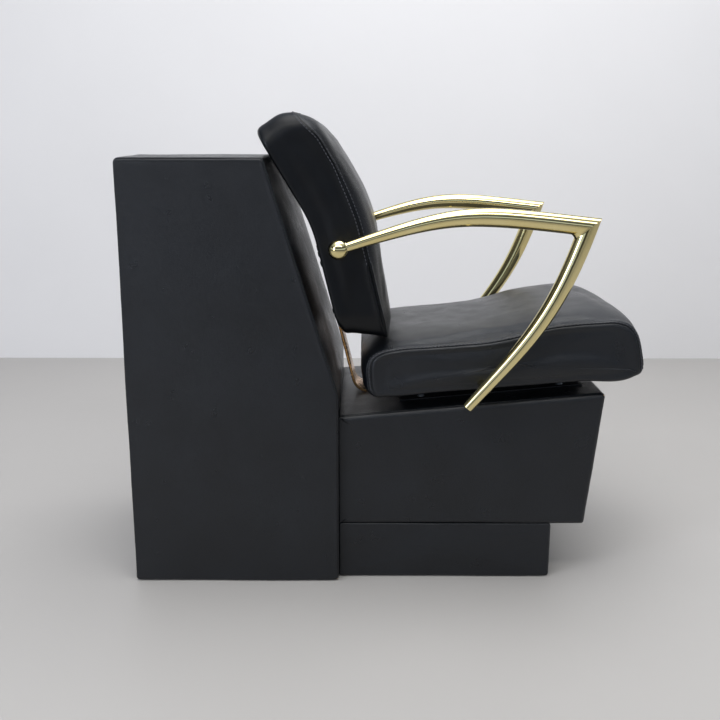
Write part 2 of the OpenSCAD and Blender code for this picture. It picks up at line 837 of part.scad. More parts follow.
// Rails: steel channels that hold the seat clear of the seat box
module seat_rail(side) {
    color(black_steel) on_seat_box() difference() {
        mirror([0, side > 0 ? 0 : 1, 0]) translate([rail_x0, rail_y, 0]) difference() {
            cube([rail_l, rail_w, rail_h]);
            translate([-over, rail_t, rail_t]) cube([rail_l + 2 * over, rail_w, rail_h - 2 * rail_t]);
        }
        at_rail_bolts() bolt_hole(over);
        at_rail_bolts() translate([0, 0, rail_t]) bolt_hole(2 * rail_t);
        at_rail_bolts() translate([0, 0, rail_h]) bolt_hole(2 * rail_t);
    }
}
module seat_rail_right() { seat_rail(right); }
module seat_rail_left() { seat_rail(left); }
module seat_base_bolts() {
    grip = cover_t + board_t + nut_grip;
    color(zinc) on_seat_box() {
        at_rail_bolts() translate([0, 0, rail_t]) bolt(rail_t + grip);
        at_bar_foot_bolts() translate([0, 0, bar_t]) bolt(bar_t + grip);
    }
}
module seat_base_nuts() {
    color(zinc) on_seat_box() {
        at_rail_bolts() translate([0, 0, -cover_t - board_t - nut_h]) nut();
        at_bar_foot_bolts() translate([0, 0, -cover_t - board_t - nut_h]) nut();
    }
}
module seat_rail_bolts() {
    color(zinc) on_seat_box() at_rail_bolts() translate([0, 0, rail_h - rail_t])
        mirror([0, 0, 1]) bolt(rail_t + dust_t + seat_bolt_grip - over);
}

// Seat
module seat_board_solid(grow) {
    translate([seat_board_x0 - grow, -seat_board_hw - grow, seat_under - (grow > 0 ? over : 0)])
        cube([
            seat_board_x1 - seat_board_x0 + 2 * grow,
            2 * (seat_board_hw + grow),
            seat_board_t + grow + (grow > 0 ? over : 0)
        ]);
}
module at_boss_line() {
    for (side = [right, left])
        translate([boss_x, side * seat_board_hw, seat_under + seat_board_t / 2])
            rotate([-side * 90, 0, 0]) children();
}
module seat_board() {
    color(plywood) on_seat_box() difference() {
        seat_board_solid(0);
        at_rail_bolts() translate([0, 0, seat_under]) insert_hole(seat_bolt_grip);
        at_boss_line() bolt_hole(seat_stud_l);
        deep = (seat_board_t + barrel_h) / 2;
        for (side = [right, left])
            translate([boss_x, side * (seat_board_hw - barrel_in), seat_under - over])
                cylinder(r = barrel_d / 2 + thread_play, h = deep + over, $fn = fine);
    }
}
module seat_board_inserts() {
    color(zinc) on_seat_box() at_rail_bolts() translate([0, 0, seat_under]) insert(seat_bolt_grip);
}
module seat_dust_cover() {
    color(cloth) on_seat_box() difference() {
        translate([seat_x + dust_edge, -seat_rear_hw + dust_edge, seat_under - dust_t])
            cube([seat_l - 2 * dust_edge, 2 * (seat_rear_hw - dust_edge), dust_t]);
        at_rail_bolts() translate([0, 0, seat_under]) bolt_hole(2 * dust_t);
    }
}
// Side outline of the cushion, grown to the rear, top and front by the given bulges
function seat_top_h(x) =
    seat_under + seat_side_h
    + seat_roll_h * ease(x, seat_x + seat_roll_start_share * seat_l, seat_x + seat_roll_end_share * seat_l);
function seat_outline(rear, top, front) =
    let (
        x0 = seat_x - rear,
        x1 = seat_front_x + front,
        crest = seat_top_h(seat_front_x) + top,
        hip = seat_top_h(seat_x) + top,
        rr = seat_rear_round + rear / 2,
        fr = seat_front_round + front,
        lean = seat_front_lean,
        first = x0 + rr,
        final = x1 - fr - lean
    )
    concat(
        [[first, seat_under], [x0 + seat_foot_round, seat_under], [x0, seat_under + seat_foot_round]],
        [[x0, (seat_under + hip - rr) / 2]],
        arc([x0 + rr, hip - rr], rr, 180, 90, 5),
        [for (i = [1 : 8]) let (x = first + (final - first) * i / 9) [x, seat_top_h(x) + top]],
        arc([final, crest - fr], fr, 90, 6, 5),
        [[x1 - lean / 2, (seat_under + crest - fr) / 2]],
        [[x1, seat_under + seat_nose_h], [x1 - seat_foot_round / 2, seat_under + seat_foot_round / 3]],
        [[x1 - 2 * seat_foot_round, seat_under]],
        [for (i = [3 : -1 : 1]) [first + (x1 - first) * i / 4, seat_under]]
    );
function seat_hw(x) =
    seat_rear_hw + (seat_front_hw - seat_rear_hw) * ease(x, seat_x - seat_rear_bulge, seat_front_x);
function seat_ring(share, shrink, pull) =
    let (
        k = 1 - pow(abs(share), seat_crown_power),
        k_end = 1 - pow(abs(share), seat_end_power),
        edge = seat_outline(0, 0, 0),
        full = seat_outline(seat_rear_bulge, seat_crown, seat_front_bulge),
        mid = [(seat_x + seat_front_x) / 2, seat_under + seat_side_h / 2]
    )
    [
        for (i = [0 : len(edge) - 1])
        let (
            p = edge[i] + [k_end * (full[i][0] - edge[i][0]), k * (full[i][1] - edge[i][1])],
            q = mid + shrink * (p - mid),
            side = share < 0 ? -1 : 1
        )
        [q[0], share * seat_hw(p[0]) - side * pull, q[1]]
    ];
module seat_cushion_form() {
    shares = concat([for (i = [len(seat_ring_shares) - 1 : -1 : 1]) -seat_ring_shares[i]], seat_ring_shares);
    rings = concat(
        [for (i = [0, 1]) seat_ring(-1, seat_side_rings[i][0], seat_side_rings[i][1] * seat_side_pull)],
        [for (k = shares) seat_ring(k, 1, 0)],
        [for (i = [1, 0]) seat_ring(1, seat_side_rings[i][0], seat_side_rings[i][1] * seat_side_pull)]
    );
    mid_x = (seat_x + seat_front_x) / 2;
    mid_h = seat_under + seat_side_h / 2;
    mid_y = seat_hw(mid_x) - seat_side_pull;
    skin(rings, [mid_x, -mid_y, mid_h], [mid_x, mid_y, mid_h]);
}
module seat_cushion() {
    color(vinyl) on_seat_box() difference() {
        seat_cushion_form();
        seat_board_solid(play);
        at_boss_line() translate([0, 0, -over]) cylinder(r = boss_d / 2 + play, h = arm_y, $fn = fine);
    }
}

// Flat bar
module back_bar() {
    color(gold) difference() {
        across(bent_strip(), bar_w);
        on_backrest() translate([bar_rear_n, 0, 0]) at_bar_bolts() bolt_hole(3 * bar_t);
        on_seat_box() at_bar_foot_bolts() translate([0, 0, 2 * bar_t]) bolt_hole(3 * bar_t);
    }
}
// Outline of the bent bar: up its rear face and back down its front face
function bent_strip() =
    let (
        c = bar_heel + bar_setback_vec(),
        top = bar_rear_low + bar_top_s * [-sin(back_lean), cos(back_lean)],
        toe = bar_heel + bar_foot_l * dir(seat_tilt),
        a0 = 180 + back_lean,
        a1 = 270 + seat_tilt
    )
    concat(
        [top],
        arc(c, bar_bend_r, a0, a1, 8),
        [toe, toe + bar_t * dir(90 + seat_tilt)],
        arc(c, bar_bend_r - bar_t, a1, a0, 8),
        [top + bar_t * dir(back_lean)]
    );
function bar_setback_vec() =
    let (
        turn = 90 - back_lean + seat_tilt,
        run = bar_bend_r * tan(turn / 2)
    )
    run * dir(seat_tilt) + bar_bend_r * dir(90 + seat_tilt);
module back_bar_cap() {
    deep = bar_t + 2 * bar_cap_wall;
    wide = bar_w + 2 * bar_cap_wall;
    pinch = play / 3;
    color(black_steel) on_backrest() translate([bar_rear_n - bar_cap_wall, 0, bar_top_s - bar_cap_grip])
        difference() {
            translate([0, -wide / 2, 0]) cube([deep - bar_cap_wall, wide, bar_cap_h]);
            translate([bar_cap_wall - pinch, -bar_w / 2 - pinch, -over])
                cube([bar_t + over, bar_w + 2 * pinch, bar_cap_grip + over]);
        }
}
module back_bar_bolts() {
    grip = bar_t + rear_panel_t + back_board_t - over;
    color(black_steel) on_backrest() translate([bar_rear_n, 0, 0]) at_bar_bolts() bolt(grip);
}

// Backrest
function back_layer(s0, s1, n0, n1) =
    let (bend = [for (i = [0 : back_bend_steps]) back_straight + back_arc_l() * i / back_bend_steps])
    let (up = concat([s0], bend, [s1]))
    concat(
        [for (s = up) back_point(s, n1)],
        [for (i = [len(up) - 1 : -1 : 0]) back_point(up[i], n0)]
    );
module back_sheet(edge, low_edge, n0, n1) {
    s0 = back_low_s + low_edge;
    s1 = back_high_s - edge;
    hw = back_top_hw - edge;
    low = back_point(s0, 0);
    high = back_point(s1, 0);
    r = back_corner_r - edge;
    deep = back_l;
    intersection() {
        across(back_layer(s0, s1, n0, n1), 2 * hw);
        translate([-deep, 0, 0]) rotate([90, 0, 90]) linear_extrude(2 * deep) polygon(rounded(
            [[-hw, low[1] - over], [hw, low[1] - over], [hw, high[1] + over], [-hw, high[1] + over]],
            [r, r, r, r], 6
        ));
    }
}
module backrest_board() {
    color(plywood) on_backrest() difference() {
        back_sheet(back_board_edge, back_board_edge, 0, back_board_t);
        at_bar_bolts() rotate([180, 0, 0]) insert_hole(back_board_t + over);
    }
}
module backrest_inserts() {
    color(zinc) on_backrest() at_bar_bolts() rotate([180, 0, 0]) insert(back_board_t);
}
module side_block_solid(grow) {
    s0 = side_block_s[0] - grow;
    s1 = side_block_s[1] + grow;
    both_sides() translate([back_board_t, back_board_hw - side_block_w - grow, s0])
        cube([side_block_depth - back_board_t + grow, side_block_w + 2 * grow, s1 - s0]);
}
module at_ball_line() {
    for (side = [right, left])
        translate([ball_n, side * back_board_hw, ball_s]) rotate([-side * 90, 0, 0]) children();
}
module backrest_side_blocks() {
    color(hardwood) on_backrest() difference() {
        side_block_solid(0);
        at_ball_line() translate([0, 0, -side_block_w - over])
            cylinder(r = bolt_d / 2 + thread_play, h = side_block_w + 2 * over, $fn = fine);
    }
}
module backrest_rear_panel() {
    color(vinyl) on_backrest() difference() {
        back_sheet(rear_panel_edge, rear_panel_low_edge, -rear_panel_t, 0);
        translate([bar_front_n, 0, 0]) at_bar_bolts() bolt_hole(rear_panel_t + over);
    }
}
// One ring of the cushion: inset from the outline, at n before the rear face
function back_loop(edge) =
    let (
        s0 = back_low_s + edge,
        s1 = back_high_s - edge,
        r = back_corner_r - edge,
        w0 = back_low_hw - edge,
        w1 = back_top_hw - edge
    )
    concat(
        arc([s1 - r, w1 - r], r, 0, 90, 5),
        side_run([s1 - r, w1], [s0 + r, w0], [0, -1]),
        arc([s0 + r, w0 - r], r, 90, 180, 5),
        side_run([s0, w0 - r], [s0, -w0 + r], [1, 0]),
        arc([s0 + r, -w0 + r], r, 180, 270, 5),
        side_run([s0 + r, -w0], [s1 - r, -w1], [0, 1]),
        arc([s1 - r, -w1 + r], r, 270, 360, 5),
        side_run([s1, -w1 + r], [s1, w1 - r], [-1, 0])
    );
// Points between two corners, pulled in along the middle of the side
function side_run(a, b, inward) =
    [
        for (i = [1 : side_points])
        let (t = i / (side_points + 1))
        a + (b - a) * t + 4 * t * (1 - t) * back_pull * inward
    ];
function back_ring(edge, shrink, depth_share) =
    let (keep = pow(shrink, back_crown_power))
    [
        for (p = back_loop(edge))
        let (
            s = back_mid_s + shrink * (p[0] - back_mid_s),
            side_n = depth_share * seam_n(s),
            n = depth_share < 1 ? side_n : keep * side_n + (1 - keep) * (back_side_t + back_crown),
            q = back_point(s - end_drop(s, min(n, back_side_t)), n)
        )
        [q[0], -shrink * p[1], q[1]]
    ];
// Depth of the side at s: fuller at the shoulder, drawn in at the top
function seam_n(s) =
    let (
        belly = ease(s, back_belly_s[0], back_belly_s[1]),
        top = ease(s, back_top_pull_s[0], back_top_pull_s[1])
    )
    back_side_t + back_belly * belly * (1 - top) - back_top_pull * top;
// How far a point at s and n is lowered: the underside falls to the front and the top is rounded
function end_drop(s, n) =
    back_under_share * n * (1 - ease(s, back_low_s, back_low_s + back_under_run))
    + (
        pow(max(0, n - back_top_flat), 2) / back_top_round
        - back_top_bulge * (1 - pow(2 * n / back_side_t - 1, 2))
    ) * ease(s, back_high_s - back_top_run, back_high_s);
module backrest_cushion_form() {
    rings = concat(
        [for (k = back_rear_shares) back_ring(back_edge_r, k, 0)],
        [for (e = back_side_steps) back_ring(e[0] * back_edge_r, 1, e[1])],
        [for (k = back_crown_shares) back_ring(back_edge_r, k, 1)]
    );
    rear_mid = back_point(back_mid_s, 0);
    front_mid = back_point(back_mid_s, back_side_t + back_crown);
    skin(rings, [rear_mid[0], 0, rear_mid[1]], [front_mid[0], 0, front_mid[1]]);
}
module backrest_cushion() {
    color(vinyl) on_backrest() difference() {
        backrest_cushion_form();
        back_sheet(back_board_edge - play, back_board_edge - play, -rear_panel_t, back_board_t + play);
        side_block_solid(play);
        at_ball_line() cylinder(r = boss_d / 2 + play, h = arm_y, $fn = fine);
    }
}

// Arms
// Ring of a tube in the arm's plane, square to the curve
function tube_ring(p, n, r) =
    [
        for (k = [0 : arm_sides - 1])
        let (a = -360 * k / arm_sides)
        [p[0] + r * cos(a) * n[0], r * sin(a), p[1] + r * cos(a) * n[1]]
    ];
function upper_r(t) = (arm_d - (arm_d - arm_rear_d) * pow(1 - min(1, t / taper_share), taper_power)) / 2;
function down_r(t) = (arm_low_d + (arm_d - arm_low_d) * (1 - pow(t, low_taper_power))) / 2;
module upper_tube_form(wall, rear_run) {
    start = bezier_dir(upper_curve, 0);
    end = bezier_dir(upper_curve, 1);
    first = ball_p + (ball_d / 2 - rear_run) * start;
    outside = ball_p + (ball_d / 2 + play) * start;
    rings = concat(
        [for (p = [first, outside]) tube_ring(p, [-start[1], start[0]], arm_rear_d / 2 - wall)],
        [
            for (i = [1 : arm_rings])
            let (
                t = i / arm_rings,
                d = bezier_dir(upper_curve, t)
            )
            tube_ring(bezier(upper_curve, t), [-d[1], d[0]], upper_r(t) - wall)
        ],
        [tube_ring(corner_p + mitre_run * end, [-end[1], end[0]], arm_d / 2 - wall)]
    );
    last = corner_p + mitre_run * end;
    skin(rings, [first[0], 0, first[1]], [last[0], 0, last[1]]);
}
module down_tube_form(wall, low_run) {
    start = bezier_dir(down_curve, 0);
    end = bezier_dir(down_curve, 1);
    first = corner_p - mitre_run * start;
    last = low_p + low_run * end;
    rings = concat(
        [tube_ring(first, [-start[1], start[0]], arm_d / 2 - wall)],
        [
            for (i = [0 : arm_rings])
            let (
                t = i / arm_rings,
                d = bezier_dir(down_curve, t)
            )
            tube_ring(bezier(down_curve, t), [-d[1], d[0]], down_r(t) - wall)
        ],
        low_run > 0 ? [tube_ring(last, [-end[1], end[0]], arm_low_d / 2 - wall)] : []
    );
    skin(rings, [first[0], 0, first[1]], [last[0], 0, last[1]]);
}
// Half space on one side of the mitre: +1 is the side of the down tube
module mitre_cut(side) {
    big = 4 * arm_d;
    translate([corner_x, 0, corner_z]) rotate([0, -mitre_a, 0])
        translate([-big / 2, -big / 2, side > 0 ? 0 : -big]) cube(big);
}
module arm_upper_tube(side) {
    color(gold) translate([0, side * arm_y, 0]) difference() {
        upper_tube_form(0, ball_socket - play);
        upper_tube_form(arm_wall, ball_socket + over);
        mitre_cut(1);
    }
}
module arm_down_tube(side) {
    reach = arm_y - seat_board_hw - play / 3;
    color(gold) difference() {
        union() {
            translate([0, side * arm_y, 0]) difference() {
                down_tube_form(0, 0);
                down_tube_form(arm_wall, over);
                mitre_cut(-1);
            }
            difference() {
                boss_line(side, boss_d / 2, reach);
                translate([0, side * arm_y, 0]) down_tube_form(arm_wall / 2, 0);
            }
        }
        boss_line(side, bolt_d / 2 + thread_play, reach - arm_d / 2);
    }
}
// Round bar from the edge of the seat board out towards an arm
module boss_line(side, r, l) {
    y0 = seat_board_hw + play / 3;
    on_seat_box() translate([boss_x, side * y0, seat_under + seat_board_t / 2]) rotate([-side * 90, 0, 0])
        cylinder(r = r, h = l, $fn = fine);
}
module arm_right_upper_tube() { arm_upper_tube(right); }
module arm_left_upper_tube() { arm_upper_tube(left); }
module arm_right_down_tube() { arm_down_tube(right); }
module arm_left_down_tube() { arm_down_tube(left); }

module arm_ball(side) {
    start = bezier_dir(upper_curve, 0);
    rise = atan2(start[1], start[0]);
    neck_l = arm_y - back_board_hw - play / 3;
    middle = [ball_x, side * arm_y, ball_z];
    color(gold) difference() {
        union() {
            translate(middle) sphere(d = ball_d, $fn = fine);
            neck_line(side, boss_d / 2, neck_l);
        }
        neck_line(side, bolt_d / 2 + thread_play, neck_l);
        translate(middle) rotate([0, 90 - rise, 0]) translate([0, 0, ball_d / 2 - ball_socket])
            cylinder(r = arm_rear_d / 2 + play / 2, h = ball_d, $fn = fine);
    }
}
// Round bar from the side block of the backrest out towards an arm
module neck_line(side, r, l) {
    y0 = back_board_hw + play / 3;
    translate([ball_x, side * y0, ball_z]) rotate([-side * 90, 0, 0])
        cylinder(r = r, h = l, $fn = fine);
}
module arm_right_ball() { arm_ball(right); }
module arm_left_ball() { arm_ball(left); }

module arm_end_plugs() {
    end = bezier_dir(down_curve, 1);
    steep = atan2(end[1], end[0]);
    color(gold) for (side = [right, left])
        translate([low_x, side * arm_y, low_z]) rotate([0, 90 - steep, 0]) translate([0, 0, -end_plug_t])
            cylinder(r = arm_low_d / 2 - arm_wall - play, h = end_plug_t, $fn = fine);
}
module arm_rear_studs() {
    color(zinc) both_sides() translate([ball_x, back_board_hw - ball_bolt_l / 2, ball_z]) rotate([-90, 0, 0])
        cylinder(d = bolt_d, h = ball_bolt_l, $fn = fine);
}
module arm_seat_studs() {
    color(zinc) on_seat_box() both_sides()
        translate([boss_x, seat_board_hw - barrel_in - barrel_d / 2, seat_under + seat_board_t / 2])
            rotate([-90, 0, 0]) cylinder(d = bolt_d, h = seat_stud_l, $fn = fine);
}
module arm_barrel_nuts() {
    color(zinc) on_seat_box() both_sides() difference() {
        translate([boss_x, seat_board_hw - barrel_in, seat_under + seat_board_t / 2 - barrel_h / 2])
            cylinder(d = barrel_d, h = barrel_h, $fn = fine);
        translate([boss_x, 0, seat_under + seat_board_t / 2]) rotate([-90, 0, 0])
            cylinder(r = bolt_d / 2 + thread_play, h = arm_y, $fn = fine);
    }
}

placed() cabinet_right_side();
placed() cabinet_left_side();
placed() cabinet_top();
placed() cabinet_slope();
placed() cabinet_front();
placed() cabinet_corner_blocks();
placed() cabinet_cleats();
placed() cabinet_back_panel();
placed() back_panel_screws();
placed() cabinet_cover();
placed() seat_box_right_side();
placed() seat_box_left_side();
placed() seat_box_top();
placed() seat_box_front();
placed() seat_box_bottom();
placed() seat_box_rear();
placed() seat_box_cover();
placed() box_joining_bolts();
placed() box_joining_nuts();
placed() plinth_right_side();
placed() plinth_left_side();
placed() plinth_front();
placed() plinth_corner_blocks();
placed() plinth_screws();
placed() plinth_cover();
placed() glide_sockets();
placed() glide_rear_right();
placed() glide_rear_left();
placed() glide_middle_right();
placed() glide_middle_left();
placed() glide_front_right();
placed() glide_front_left();
placed() seat_rail_right();
placed() seat_rail_left();
placed() seat_base_bolts();
placed() seat_base_nuts();
placed() seat_rail_bolts();
placed() seat_board();
placed() seat_board_inserts();
placed() seat_dust_cover();
placed() seat_cushion();
placed() back_bar();
placed() back_bar_cap();
placed() back_bar_bolts();
placed() backrest_board();
placed() backrest_inserts();
placed() backrest_side_blocks();
placed() backrest_rear_panel();
placed() backrest_cushion();
placed() arm_right_upper_tube();
placed() arm_left_upper_tube();
placed() arm_right_down_tube();
placed() arm_left_down_tube();
placed() arm_right_ball();
placed() arm_left_ball();
placed() arm_end_plugs();
placed() arm_rear_studs();
placed() arm_seat_studs();
placed() arm_barrel_nuts();
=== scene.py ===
"""Salon dryer chair, dressed around its packed assembly.

The upholstered box covers, the two cushions, their seams and stitches, the plated arms, the
flat bar and its fasteners are made here as real surfaces. Everything else is the assembly's
own node with a finish of its own. Points are worked out in millimetres, with X counted from
the rear face of the cabinet, as in the plan of the chair, and become metres in one function.
"""

from __future__ import annotations

import json
import logging
import math
from dataclasses import dataclass, field
from enum import Enum
from typing import Callable, Sequence

import bmesh
import bpy
import numpy as np
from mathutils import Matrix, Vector
from mathutils.kdtree import KDTree

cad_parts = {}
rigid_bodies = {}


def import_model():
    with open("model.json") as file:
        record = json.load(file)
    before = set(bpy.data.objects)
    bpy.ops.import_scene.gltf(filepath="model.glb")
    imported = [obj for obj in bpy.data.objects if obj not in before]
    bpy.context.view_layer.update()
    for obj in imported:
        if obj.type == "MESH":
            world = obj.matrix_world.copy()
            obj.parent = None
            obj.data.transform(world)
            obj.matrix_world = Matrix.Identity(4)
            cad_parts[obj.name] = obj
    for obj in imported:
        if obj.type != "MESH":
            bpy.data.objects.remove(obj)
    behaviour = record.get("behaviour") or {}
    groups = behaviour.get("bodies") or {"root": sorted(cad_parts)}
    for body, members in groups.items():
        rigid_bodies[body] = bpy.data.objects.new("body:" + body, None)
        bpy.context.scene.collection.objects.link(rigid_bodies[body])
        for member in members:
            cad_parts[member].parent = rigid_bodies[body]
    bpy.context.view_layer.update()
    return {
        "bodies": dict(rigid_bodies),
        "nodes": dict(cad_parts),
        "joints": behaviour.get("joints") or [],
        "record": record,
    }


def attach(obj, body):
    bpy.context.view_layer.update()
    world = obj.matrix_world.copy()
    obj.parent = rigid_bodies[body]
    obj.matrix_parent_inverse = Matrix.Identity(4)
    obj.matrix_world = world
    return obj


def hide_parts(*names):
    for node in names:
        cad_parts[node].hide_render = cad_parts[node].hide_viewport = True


log = logging.getLogger("dryer_chair")
Array = np.ndarray
Colour = tuple[float, float, float, float]
Material = bpy.types.Material
Mesh = bpy.types.Mesh
Node = bpy.types.Node
Object = bpy.types.Object
Path = tuple[Array, Array]
Socket = bpy.types.NodeSocket
Tree = bpy.types.NodeTree

CHAIR = "chair"
MM = 0.001
HALF_LENGTH = 460.7417
# Where the cabinet's front meets the seat box's sloping top, and that slope's degrees
CABINET_FRONT = 376.0
BOX_REAR_TOP = 312.0
SEAT_TILT = 5.3
# Foot of the backrest's rear face, and its lean
BACK_ORIGIN = (381.0, 459.0)
BACK_LEAN = 14.0
ACROSS = np.array([0.0, 1.0, 0.0])


class Side(Enum):
    """The sitter's right is at -Y, towards the camera."""

    RIGHT = -1
    LEFT = 1


class Slot(Enum):
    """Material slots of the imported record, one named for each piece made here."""

    VINYL = "black_vinyl"
    GOLD = "gold_plated_steel"
    STEEL = "black_steel"
    PLASTIC = "black_plastic"
    CLOTH = "dust_cloth"


# ---------------------------------------------------------------- small tools


def metres(points: Array) -> Array:
    """Turns millimetres from the cabinet's rear face into the frame's metres.

    Args:
        points: points with X, Y and Z in the last axis.

    Returns:
        The same points in metres, with X counted from the middle of the chair.
    """
    out = np.array(points, dtype=float)
    out[..., 0] -= HALF_LENGTH
    return out * MM


def ease(x: Array | float, low: float, high: float) -> Array:
    """Smooth step from 0 at low to 1 at high."""
    t = np.clip((np.asarray(x, float) - low) / (high - low), 0.0, 1.0)
    return t * t * (3.0 - 2.0 * t)


def heading(degrees: float) -> Array:
    """Unit direction above +X in the side view."""
    return np.array([math.cos(math.radians(degrees)), math.sin(math.radians(degrees))])


def circle(count: int) -> Array:
    """Even points round a circle of radius 1."""
    turns = 2 * math.pi * np.arange(count) / count
    return np.stack([np.cos(turns), np.sin(turns)], axis=1)


def arc(middle: Sequence[float], radius: float, start: float, steps: int, sweep: float = 90.0) -> Array:
    """Points on part of a circle, with both ends.

    Args:
        middle: the circle's centre.
        radius: its radius.
        start: degrees where the part begins.
        steps: spaces between its points.
        sweep: degrees that it covers.

    Returns:
        The points, one more than the steps.
    """
    turns = np.radians(start + np.linspace(0, sweep, steps + 1))
    return np.asarray(middle) + radius * np.stack([np.cos(turns), np.sin(turns)], axis=1)


def between(a: Array, b: Array, count: int) -> Array:
    """The inner points of a line that is cut in count equal steps."""
    return a + (b - a) * (np.arange(1, count) / count)[:, None]


def across(flat: Array, y: Array | float) -> Array:
    """Points of a side view, X and Z, with their places across the chair."""
    return np.column_stack([flat[:, 0], np.broadcast_to(y, len(flat)), flat[:, 1]])


def turned(points: Array, origin: tuple[float, float], lean: float) -> Array:
    """Places points of a leaning frame in the chair.

    Args:
        points: X forwards, Y across and Z up in the leaning frame.
        origin: X and Z of the frame's origin in the chair.
        lean: degrees that the frame is tipped back.

    Returns:
        The points in the chair's own millimetres.
    """
    c, s = heading(lean)
    out = np.array(points, dtype=float)
    x, z = out[..., 0].copy(), out[..., 2].copy()
    out[..., 0] = origin[0] + x * c - z * s
    out[..., 2] = origin[1] + x * s + z * c
    return out


def on_seat(points: Array) -> Array:
    """Places points of the sloping seat in the chair."""
    return turned(points, (CABINET_FRONT, BOX_REAR_TOP), SEAT_TILT)


def ripple(points: Array, length: float, seed: int) -> Array:
    """Smooth unevenness, about -1 to 1, made of a few waves.

    Args:
        points: where it is wanted, in millimetres.
        length: usual length of a wave.
        seed: picks the directions and phases.

    Returns:
        One height for each point.
    """
    rng = np.random.default_rng(seed)
    total = np.zeros(points.shape[:-1])
    waves = 7
    for _ in range(waves):
        way = rng.normal(size=3)
        way /= np.linalg.norm(way)
        wave = length * rng.uniform(0.7, 1.6)
        total += np.sin(points @ way * (2 * math.pi / wave) + rng.uniform(0, 2 * math.pi))
    return total / math.sqrt(waves)


def outward_2d(loop: Array) -> Array:
    """Outward unit normals of a closed counter-clockwise loop."""
    along = np.roll(loop, -1, axis=0) - np.roll(loop, 1, axis=0)
    normal = np.stack([along[:, 1], -along[:, 0]], axis=1)
    return normal / np.maximum(np.linalg.norm(normal, axis=1, keepdims=True), 1e-9)


def closed_spline(points: Array, counts: Sequence[int]) -> Array:
    """Catmull-Rom curve round a closed list of points.

    Args:
        points: control points.
        counts: samples on the span that starts at each control point.

    Returns:
        The samples, in order.
    """
    out = []
    total = len(points)
    for i, count in enumerate(counts):
        p0, p1, p2, p3 = (points[(i + k) % total] for k in (-1, 0, 1, 2))
        reach, before, after = (max(np.linalg.norm(d), 1e-6) for d in (p2 - p1, p1 - p0, p3 - p2))
        way = (p2 - p1) / reach
        m1 = reach * ((p1 - p0) / before * reach + way * before) / (reach + before)
        m2 = reach * (way * after + (p3 - p2) / after * reach) / (reach + after)
        for t in np.arange(count) / count:
            near = (2 * t**3 - 3 * t**2 + 1) * p1 + (t**3 - 2 * t**2 + t) * m1
            out.append(near + (3 * t**2 - 2 * t**3) * p2 + (t**3 - t**2) * m2)
    return np.array(out)


def search_tree(points: Array) -> KDTree:
    """A tree that finds the nearest of some points."""
    tree = KDTree(len(points))
    for i, p in enumerate(points):
        tree.insert(p, i)
    tree.balance()
    return tree


# ---------------------------------------------------------------- meshes


class Skin:
    """Points and faces in millimetres that become one Blender mesh."""

    def __init__(self) -> None:
        self.points: list[Array] = []
        self.faces: list[tuple[int, ...]] = []
        self.count = 0

    def add(self, points: Array) -> int:
        """Adds points and returns the number of the first."""
        first = self.count
        self.points.append(np.asarray(points, float).reshape(-1, 3))
        self.count += len(self.points[-1])
        return first

    def grid(self, rows: Array, around: bool, keep: Callable[[int, int], bool] | None = None) -> int:
        """Adds a grid of quads.

        Args:
            rows: points with row, column and coordinate axes.
            around: True when the last column joins the first.
            keep: says which quads stay, by row and column.

        Returns:
            The number of the grid's first point.
        """
        tall, wide = rows.shape[:2]
        first = self.add(rows)
        for i in range(tall - 1):
            for j in range(wide if around else wide - 1):
                if keep is None or keep(i, j):
                    a = first + i * wide + j
                    b = first + i * wide + (j + 1) % wide
                    self.faces.append((a, b, b + wide, a + wide))
        return first

    def cap(self, first: int, count: int, middle: Array, last: bool) -> None:
        """Closes a ring of points with a fan to one middle point."""
        centre = self.add(middle)
        for j in range(count):
            a, b = first + j, first + (j + 1) % count
            self.faces.append((a, b, centre) if last else (b, a, centre))

    def shell(
        self, rows: Array, keep: Callable[[int, int], bool] | None = None, tips: Sequence[Array] | None = None
    ) -> None:
        """Adds rings of points as a skin that is closed at both ends.

        Args:
            rows: the rings, one after the other.
            keep: says which quads stay, by row and column.
            tips: middles of the two ends, where they aren't the middles of the end rings.
        """
        tall, wide = rows.shape[:2]
        start, end = tips or (rows[0].mean(axis=0), rows[-1].mean(axis=0))
        first = self.grid(rows, True, keep)
        self.cap(first, wide, start, False)
        self.cap(first + (tall - 1) * wide, wide, end, True)

    def to_object(self, name: str, material: Material, sharp: float = 60.0) -> Object:
        """Makes the mesh, with its faces turned outwards and smooth shading.

        Args:
            name: the piece's name.
            material: its finish.
            sharp: edges steeper than this many degrees stay crisp.

        Returns:
            The new object, at the origin.
        """
        mesh = bpy.data.meshes.new(name)
        mesh.from_pydata(metres(np.concatenate(self.points)).tolist(), [], self.faces)
        work = bmesh.new()
        work.from_mesh(mesh)
        bmesh.ops.remove_doubles(work, verts=work.verts, dist=1e-6)
        bmesh.ops.dissolve_degenerate(work, edges=work.edges, dist=1e-7)
        bmesh.ops.delete(work, geom=[v for v in work.verts if not v.link_faces], context="VERTS")
        bmesh.ops.recalc_face_normals(work, faces=work.faces)
        work.to_mesh(mesh)
        work.free()
        return finish_mesh(name, mesh, material, sharp)


def finish_mesh(name: str, mesh: Mesh, material: Material, sharp: float) -> Object:
    """Gives a mesh its finish and shading and links it as an object at the origin."""
    mesh.name = name
    mesh.materials.clear()
    mesh.materials.append(material)
    mesh.shade_smooth()
    mesh.set_sharp_from_angle(angle=math.radians(sharp))
    return link(bpy.data.objects.new(name, mesh))


def link(made: Object) -> Object:
    """Puts an object in the scene."""
    bpy.context.scene.collection.objects.link(made)
    return made


def mesh_points(mesh: Mesh) -> Array:
    """Reads a mesh's points, in metres."""
    flat = np.empty(len(mesh.vertices) * 3)
    mesh.vertices.foreach_get("co", flat)
    return flat.reshape(-1, 3)


